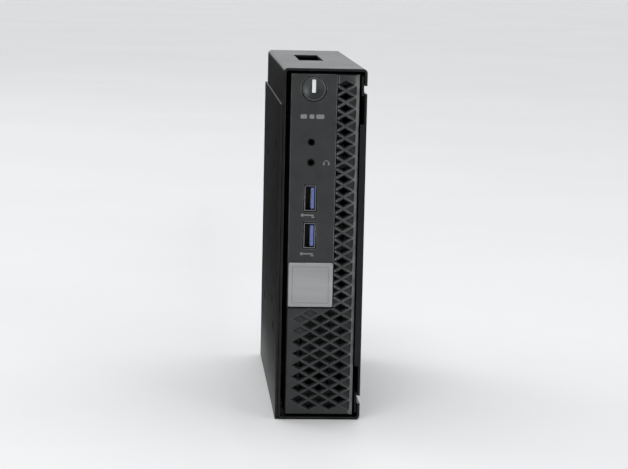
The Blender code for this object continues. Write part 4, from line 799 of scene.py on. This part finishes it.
def buildMarks():  # thin plates on the panel, and an arch: half a ring between two radii
    s = markSettings
    low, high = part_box("port_panel")
    front, middle = low.y - s["thickness"], low.y - s["thickness"] / 2
    stations = np.array([(0, low.y + s["sunk"], 0), (0, middle, 0), (s["thickness"], front, 0)])
    flats = [roundRect(low.x + x, high.z - drop, wide, tall, min(wide, tall) * 0.3, 4)
             for x, drop, wide, tall in np.array(markBars) * mm]
    rings = np.array([[movedIn(flat, inset) for inset in stations[:, 0]] for flat in flats])
    marks = skinned("printedMarks", across(rings, stations[None, :, 1, None], "Y"))
    dress(marks, "computer", None, finish="printed_mark")
    x, drop = s["bandCentre"]
    t = np.linspace(0, np.pi, 17)
    outer = np.stack([np.cos(t), np.sin(t)], axis=1)
    arc = np.concatenate([outer * s["bandRadius"], outer[::-1] * (s["bandRadius"] - s["bandWidth"])])
    band = lofted("printedBand", arc + [low.x + x, high.z - drop], stations * [0, 1, 1], "Y")
    dress(band, "computer", None, finish="printed_mark")


buildGrille()
print("stage: grille built")
buildPortPanel()
buildButton()
for part in ("upper", "lower"):
    buildJack(f"audio_jack_{part}", "audioJack" + part.capitalize())
    buildFrontUsb(part)
buildBadge()
buildMarks()
print("stage: front built")


footSettings = inMetres(edge=0.45, taper=0.5)


def buildFeet():  # round pads that taper towards their free ends
    for n in (1, 2, 3, 4):
        low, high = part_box(f"foot_{n}")
        circle = roundOutline(*centreOf(low, high)[1:], (high.y - low.y) / 2)
        stations = solidStations(high.x, low.x, footSettings["edge"], 4)
        stations[5:, 0] += footSettings["taper"]
        dress(lofted(f"foot{n}", circle, stations, "X"), "computer", "rubber", f"foot_{n}")


buildFeet()
dress(softCopy("base_tray", "baseTray", 0.15 * mm), "computer", "case_steel", "base_tray")
dress(softCopy("side_cover", "sideCover", 0.15 * mm), "cover", "case_steel", "side_cover")


# Rear sockets: blocks with their mouths cut in from behind, where tongues, pins and contacts stand.
rearSettings = inMetres(corner=0.5, edge=0.15, flare=0.22, insulator=0.4, backEdge=0.05, room=0.02,
    tongueInset=1.3, tongueCorner=0.25, tongueEdge=0.3)
rearUsbSettings = inMetres(wall=0.5, depth=13, tongueRoom=0.8, tongueThickness=1.9, tongueLength=11.2,
    contactPitch=2.0, contactInset=4.0, contactSize=(6.0, 0.9), contactLift=(0.15, 0.05)) | dict(contacts=5)
networkSettings = inMetres(mouth=(2.8, 11.0, 5.9), key=(1.2, 3.0), depth=14, floor=11, lining=0.35,
    liningEdge=0.08, wirePitch=1.02, wireSize=(9.0, 0.45), wireInset=7.5, wireDrop=0.9,
    wireLift=0.2) | dict(wires=8)
displaySettings = inMetres(cut=1.8, wall=0.6, lip=0.12, depth=11, tongue=(0.7, 6.0), tongueCorner=0.2,
    tongueEdge=0.25)
inletSettings = inMetres(bore=3.8, depth=10, pin=0.7, pinEdge=0.3, pinInset=2.3, sleeve=0.35, sleeveStart=0.1,
    sleeveInset=2.0)


def insulator(name, outline, floor, inset):  # a thin black floor that closes a mouth
    s = rearSettings
    stations = solidStations(floor + s["room"], floor + s["insulator"], s["backEdge"], 2)
    stations = stations + [inset + s["room"], 0, 0]
    dress(lofted(name + "Insulator", outline, stations, "Y"), "computer", "socket_plastic")


def cutMouth(shell, outline, rear, depth):
    bore(shell, outline, rear, rear - depth, rearSettings["flare"])
    insulator(shell.name, outline, rear - depth, 0)


def buildRearUsb(node, name):  # two mouths side by side in one shell, each with a blue tongue
    r, s = rearSettings, rearUsbSettings
    low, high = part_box(node)
    shell = slab(name, low, high, "Y", r["corner"], r["edge"])
    pitch, middle, half = (high.x - low.x) / 2, (low.z + high.z) / 2, s["tongueLength"] / 2
    front, rear = high.y - s["depth"] + r["insulator"] + r["room"], high.y - r["tongueInset"]
    for side, x in (("Left", low.x), ("Right", low.x + pitch)):
        start, far = x + s["wall"], x + pitch - s["wall"]
        ends = (start, low.y, low.z + s["wall"]), (far, high.y, high.z - s["wall"])
        cutMouth(shell, roundBox(*ends, "Y", r["corner"], 4), high.y, s["depth"])
        far = far - s["tongueRoom"]
        near = far - s["tongueThickness"]
        tongue = slab(name + side + "Tongue", (near, front, middle - half), (far, rear, middle + half), "Y",
                      r["tongueCorner"], r["tongueEdge"])
        dress(tongue, "computer", "usb_blue")
        lift = (near - s["contactLift"][0], near + s["contactLift"][1])
        contactRow(name + side + "Contacts", lift, middle, s["contacts"], s["contactPitch"],
                   rear - s["contactInset"], s["contactSize"], s["contactSize"][1] / 4, 0.05 * mm)
    dress(shell, "computer", "socket_metal", node)


def buildNetworkSocket():  # a stepped mouth with a key below it and a row of sprung wires
    r, s = rearSettings, networkSettings
    low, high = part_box("network_socket")
    middle = (low.z + high.z) / 2
    shell = slab("networkSocket", low, high, "Y", r["corner"], r["edge"])
    near, far, half = s["mouth"]
    keyNear, keyHalf = s["key"]
    mouth = np.array([(keyNear, -keyHalf), (near, -keyHalf), (near, -half), (far, -half), (far, half),
                      (near, half), (near, keyHalf), (keyNear, keyHalf)]) + [low.x, middle]
    cutMouth(shell, mouth, high.y, s["depth"])
    dress(shell, "computer", "socket_metal", "network_socket")
    lining = cupStations(high.y - s["depth"] + 2 * r["insulator"], high.y - r["tongueInset"] / 2, s["lining"],
                         high.y - s["floor"], s["liningEdge"]) + [r["room"], 0, 0]
    dress(lofted("networkLining", mouth, lining, "Y"), "computer", "socket_plastic")
    x = low.x + far - s["wireDrop"]
    contactRow("networkWires", (x - s["wireLift"], x + s["wireLift"]), middle, s["wires"], s["wirePitch"],
               high.y - s["wireInset"], s["wireSize"], s["wireSize"][1] / 4, 0.1 * mm)


def buildDisplaySocket(node, name):  # one corner is cut off, and a flat tongue stands in the middle
    r, s = rearSettings, displaySettings
    low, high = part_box(node)
    x, _, z = centreOf(low, high)
    outline = np.array([(low.x, low.z), (high.x, low.z), (high.x, high.z), (low.x + s["cut"], high.z),
                        (low.x, high.z - s["cut"])])
    floor = high.y - s["depth"]
    shell = lofted(name, outline, cupStations(low.y, high.y, s["wall"], floor, s["lip"]), "Y")
    dress(shell, "computer", "socket_metal", node)
    insulator(name, outline, floor, s["wall"])
    thin, half = s["tongue"]
    start = (x - thin, floor + r["insulator"] + r["room"], z - half)
    end = (x + thin, high.y - r["tongueInset"], z + half)
    tongue = slab(name + "Tongue", start, end, "Y", s["tongueCorner"], s["tongueEdge"])
    dress(tongue, "computer", "socket_plastic")


def buildPowerInlet():  # a plastic block with a round bore, a thin metal sleeve in it and the centre pin
    r, s = rearSettings, inletSettings
    low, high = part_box("power_inlet")
    x, _, z = centreOf(low, high)
    block = slab("powerInlet", low, high, "Y", r["corner"], r["edge"])
    cutMouth(block, roundOutline(x, z, s["bore"], 64), high.y, s["depth"])
    dress(block, "computer", "socket_plastic", "power_inlet")
    floor = high.y - s["depth"] + r["insulator"] + r["room"]
    pin = solidStations(floor, high.y - s["pinInset"], s["pinEdge"])
    dress(lofted("powerPin", roundOutline(x, z, s["pin"], 24), pin, "Y"), "computer", "socket_metal")
    outer, inner = s["bore"] - r["room"], s["bore"] - s["sleeve"]
    near, far = floor + s["sleeveStart"], high.y - s["sleeveInset"]
    dress(thinTube("powerSleeve", x, z, outer, inner, near, far, 64), "computer", "socket_metal")


for part in ("upper", "lower"):
    buildRearUsb(f"usb_rear_{part}", "rearUsb" + part.capitalize())
    buildDisplaySocket(f"display_socket_{part}", "displaySocket" + part.capitalize())
buildNetworkSocket()
buildPowerInlet()
print("stage: case built")


# flag: left, front and foot of a dark card, then its depth and height. lights: name, place, size, power.
studioSettings = dict(
    floorSize=120, floorLines=41, floorTone=((0.84, 0.84, 0.835), (0.88, 0.88, 0.875)),
    flag=(-0.045, -0.13, 0.0, 0.95, 0.196), worldTone=(0.96, 0.975, 1.0), worldBand=(-0.6, 0.9),
    worldStrength=(0.22, 1.5), aim=(0, 0, 0.09),
    lights=(("keySoftbox", (-0.3, -0.9, 1.9), 0.9, 11), ("sideSoftbox", (1.25, -1.6, 0.45), 0.8, 9),
            ("rearSoftbox", (-1.6, 1.5, 1.2), 1.2, 7)))


# The floor is a square grid whose lines stand at t^3, t from -1 to 1, so that its cells grow towards the rim.
def buildFloor():
    s = studioSettings
    count = s["floorLines"]
    line = np.linspace(-1, 1, count) ** 3 * s["floorSize"] / 2
    a, b = np.meshgrid(line, line, indexing="ij")
    index = np.arange(count * count).reshape(count, count)
    quads = np.stack([index[:-1, :-1], index[1:, :-1], index[1:, 1:], index[:-1, 1:]], axis=-1).reshape(-1, 4)
    floor = meshObject("studioFloor", np.stack([a, b, np.zeros_like(a)], axis=-1), quads.tolist())
    floor.data.materials.append(makeFinish("floor", s["floorTone"], 400, 2, (0.6, 0.7), 0.01))


def buildFlag():  # beside the left wall, a dark card that only reflections see: painted shade in the left wall's reflections
    x, y, z, deep, tall = studioSettings["flag"]
    corners = [(x, y, z), (x, y + deep, z), (x, y + deep, z + tall), (x, y, z + tall)]
    card = bpy.data.meshes.new("studioFlag")
    card.from_pydata(corners, [], [(0, 1, 2, 3)])
    card.materials.append(finishes["rubber"])
    flag = linked("studioFlag", card)
    flag.visible_camera = flag.visible_diffuse = flag.visible_shadow = flag.visible_transmission = False


def buildLights():  # a room brighter at its back than at its front, and three soft boxes
    s = studioSettings
    world = bpy.data.worlds.new("studioWorld")
    world.use_nodes = True
    bpy.context.scene.world = world
    nodes, links = world.node_tree.nodes, world.node_tree.links
    background = withInputs(nodes["Background"], {"Color": (*s["worldTone"], 1)})
    way = nodes.new("ShaderNodeSeparateXYZ")
    links.new(nodes.new("ShaderNodeTexCoord").outputs["Generated"], way.inputs[0])
    strength = nodes.new("ShaderNodeMapRange")
    for side, values in (("From", s["worldBand"]), ("To", s["worldStrength"])):
        strength.inputs[side + " Min"].default_value, strength.inputs[side + " Max"].default_value = values
    links.new(way.outputs["Y"], strength.inputs["Value"])
    links.new(strength.outputs["Result"], background.inputs["Strength"])
    for name, place, size, power in s["lights"]:
        light = bpy.data.lights.new(name, "AREA")
        light.shape = "DISK"
        light.size = size
        light.energy = power
        lamp = linked(name, light)
        lamp.location = place
        lamp.rotation_mode = "QUATERNION"
        lamp.rotation_quaternion = (Vector(s["aim"]) - Vector(place)).to_track_quat("-Z", "Y")
    bpy.context.scene.view_settings.view_transform = "Standard"


cameraSettings = dict(azimuth=-4.2, elevation=8.14, distance=1.131, roll=1.24, fill=0.79, frameWidth=628,
    frameHeight=469)


# The camera stands at the given angles from the middle of the front, turns until the object is in the middle of
# the frame, and takes the lens with which it fills the given share of the height.
def placeCamera():
    s = cameraSettings
    low, high = cadBox
    a, e = math.radians(s["azimuth"]), math.radians(s["elevation"])
    back = Vector((math.sin(a) * math.cos(e), -math.cos(a) * math.cos(e), math.sin(e)))
    target = Vector(((low.x + high.x) / 2, low.y, (low.z + high.z) / 2))
    data = bpy.data.cameras.new("studioCamera")
    camera = linked("studioCamera", data)
    camera.rotation_mode = "QUATERNION"
    camera.location = target + back * s["distance"]
    roll = Quaternion((0, 0, 1), math.radians(s["roll"]))
    turn = (-back).to_track_quat("-Z", "Y") @ roll
    corners = np.array([(x, y, z) for x in (low.x, high.x) for y in (low.y, high.y) for z in (low.z, high.z)])
    for _ in range(3):
        seen = (corners - np.array(camera.location)) @ np.array(turn.to_matrix())
        slope = seen[:, :2] / -seen[:, 2:]
        middle = (slope.max(0) + slope.min(0)) / 2
        aim = turn @ Vector((middle[0], middle[1], -1))
        turn = aim.to_track_quat("-Z", "Y") @ roll
    camera.rotation_quaternion = turn
    tall = slope[:, 1].max() - slope[:, 1].min()
    data.sensor_width = 36
    data.lens = data.sensor_width * s["fill"] / tall * s["frameHeight"] / s["frameWidth"]
    bpy.context.scene.camera = camera


buildFloor()
buildFlag()
buildLights()
placeCamera()
print("stage: studio and camera ready")
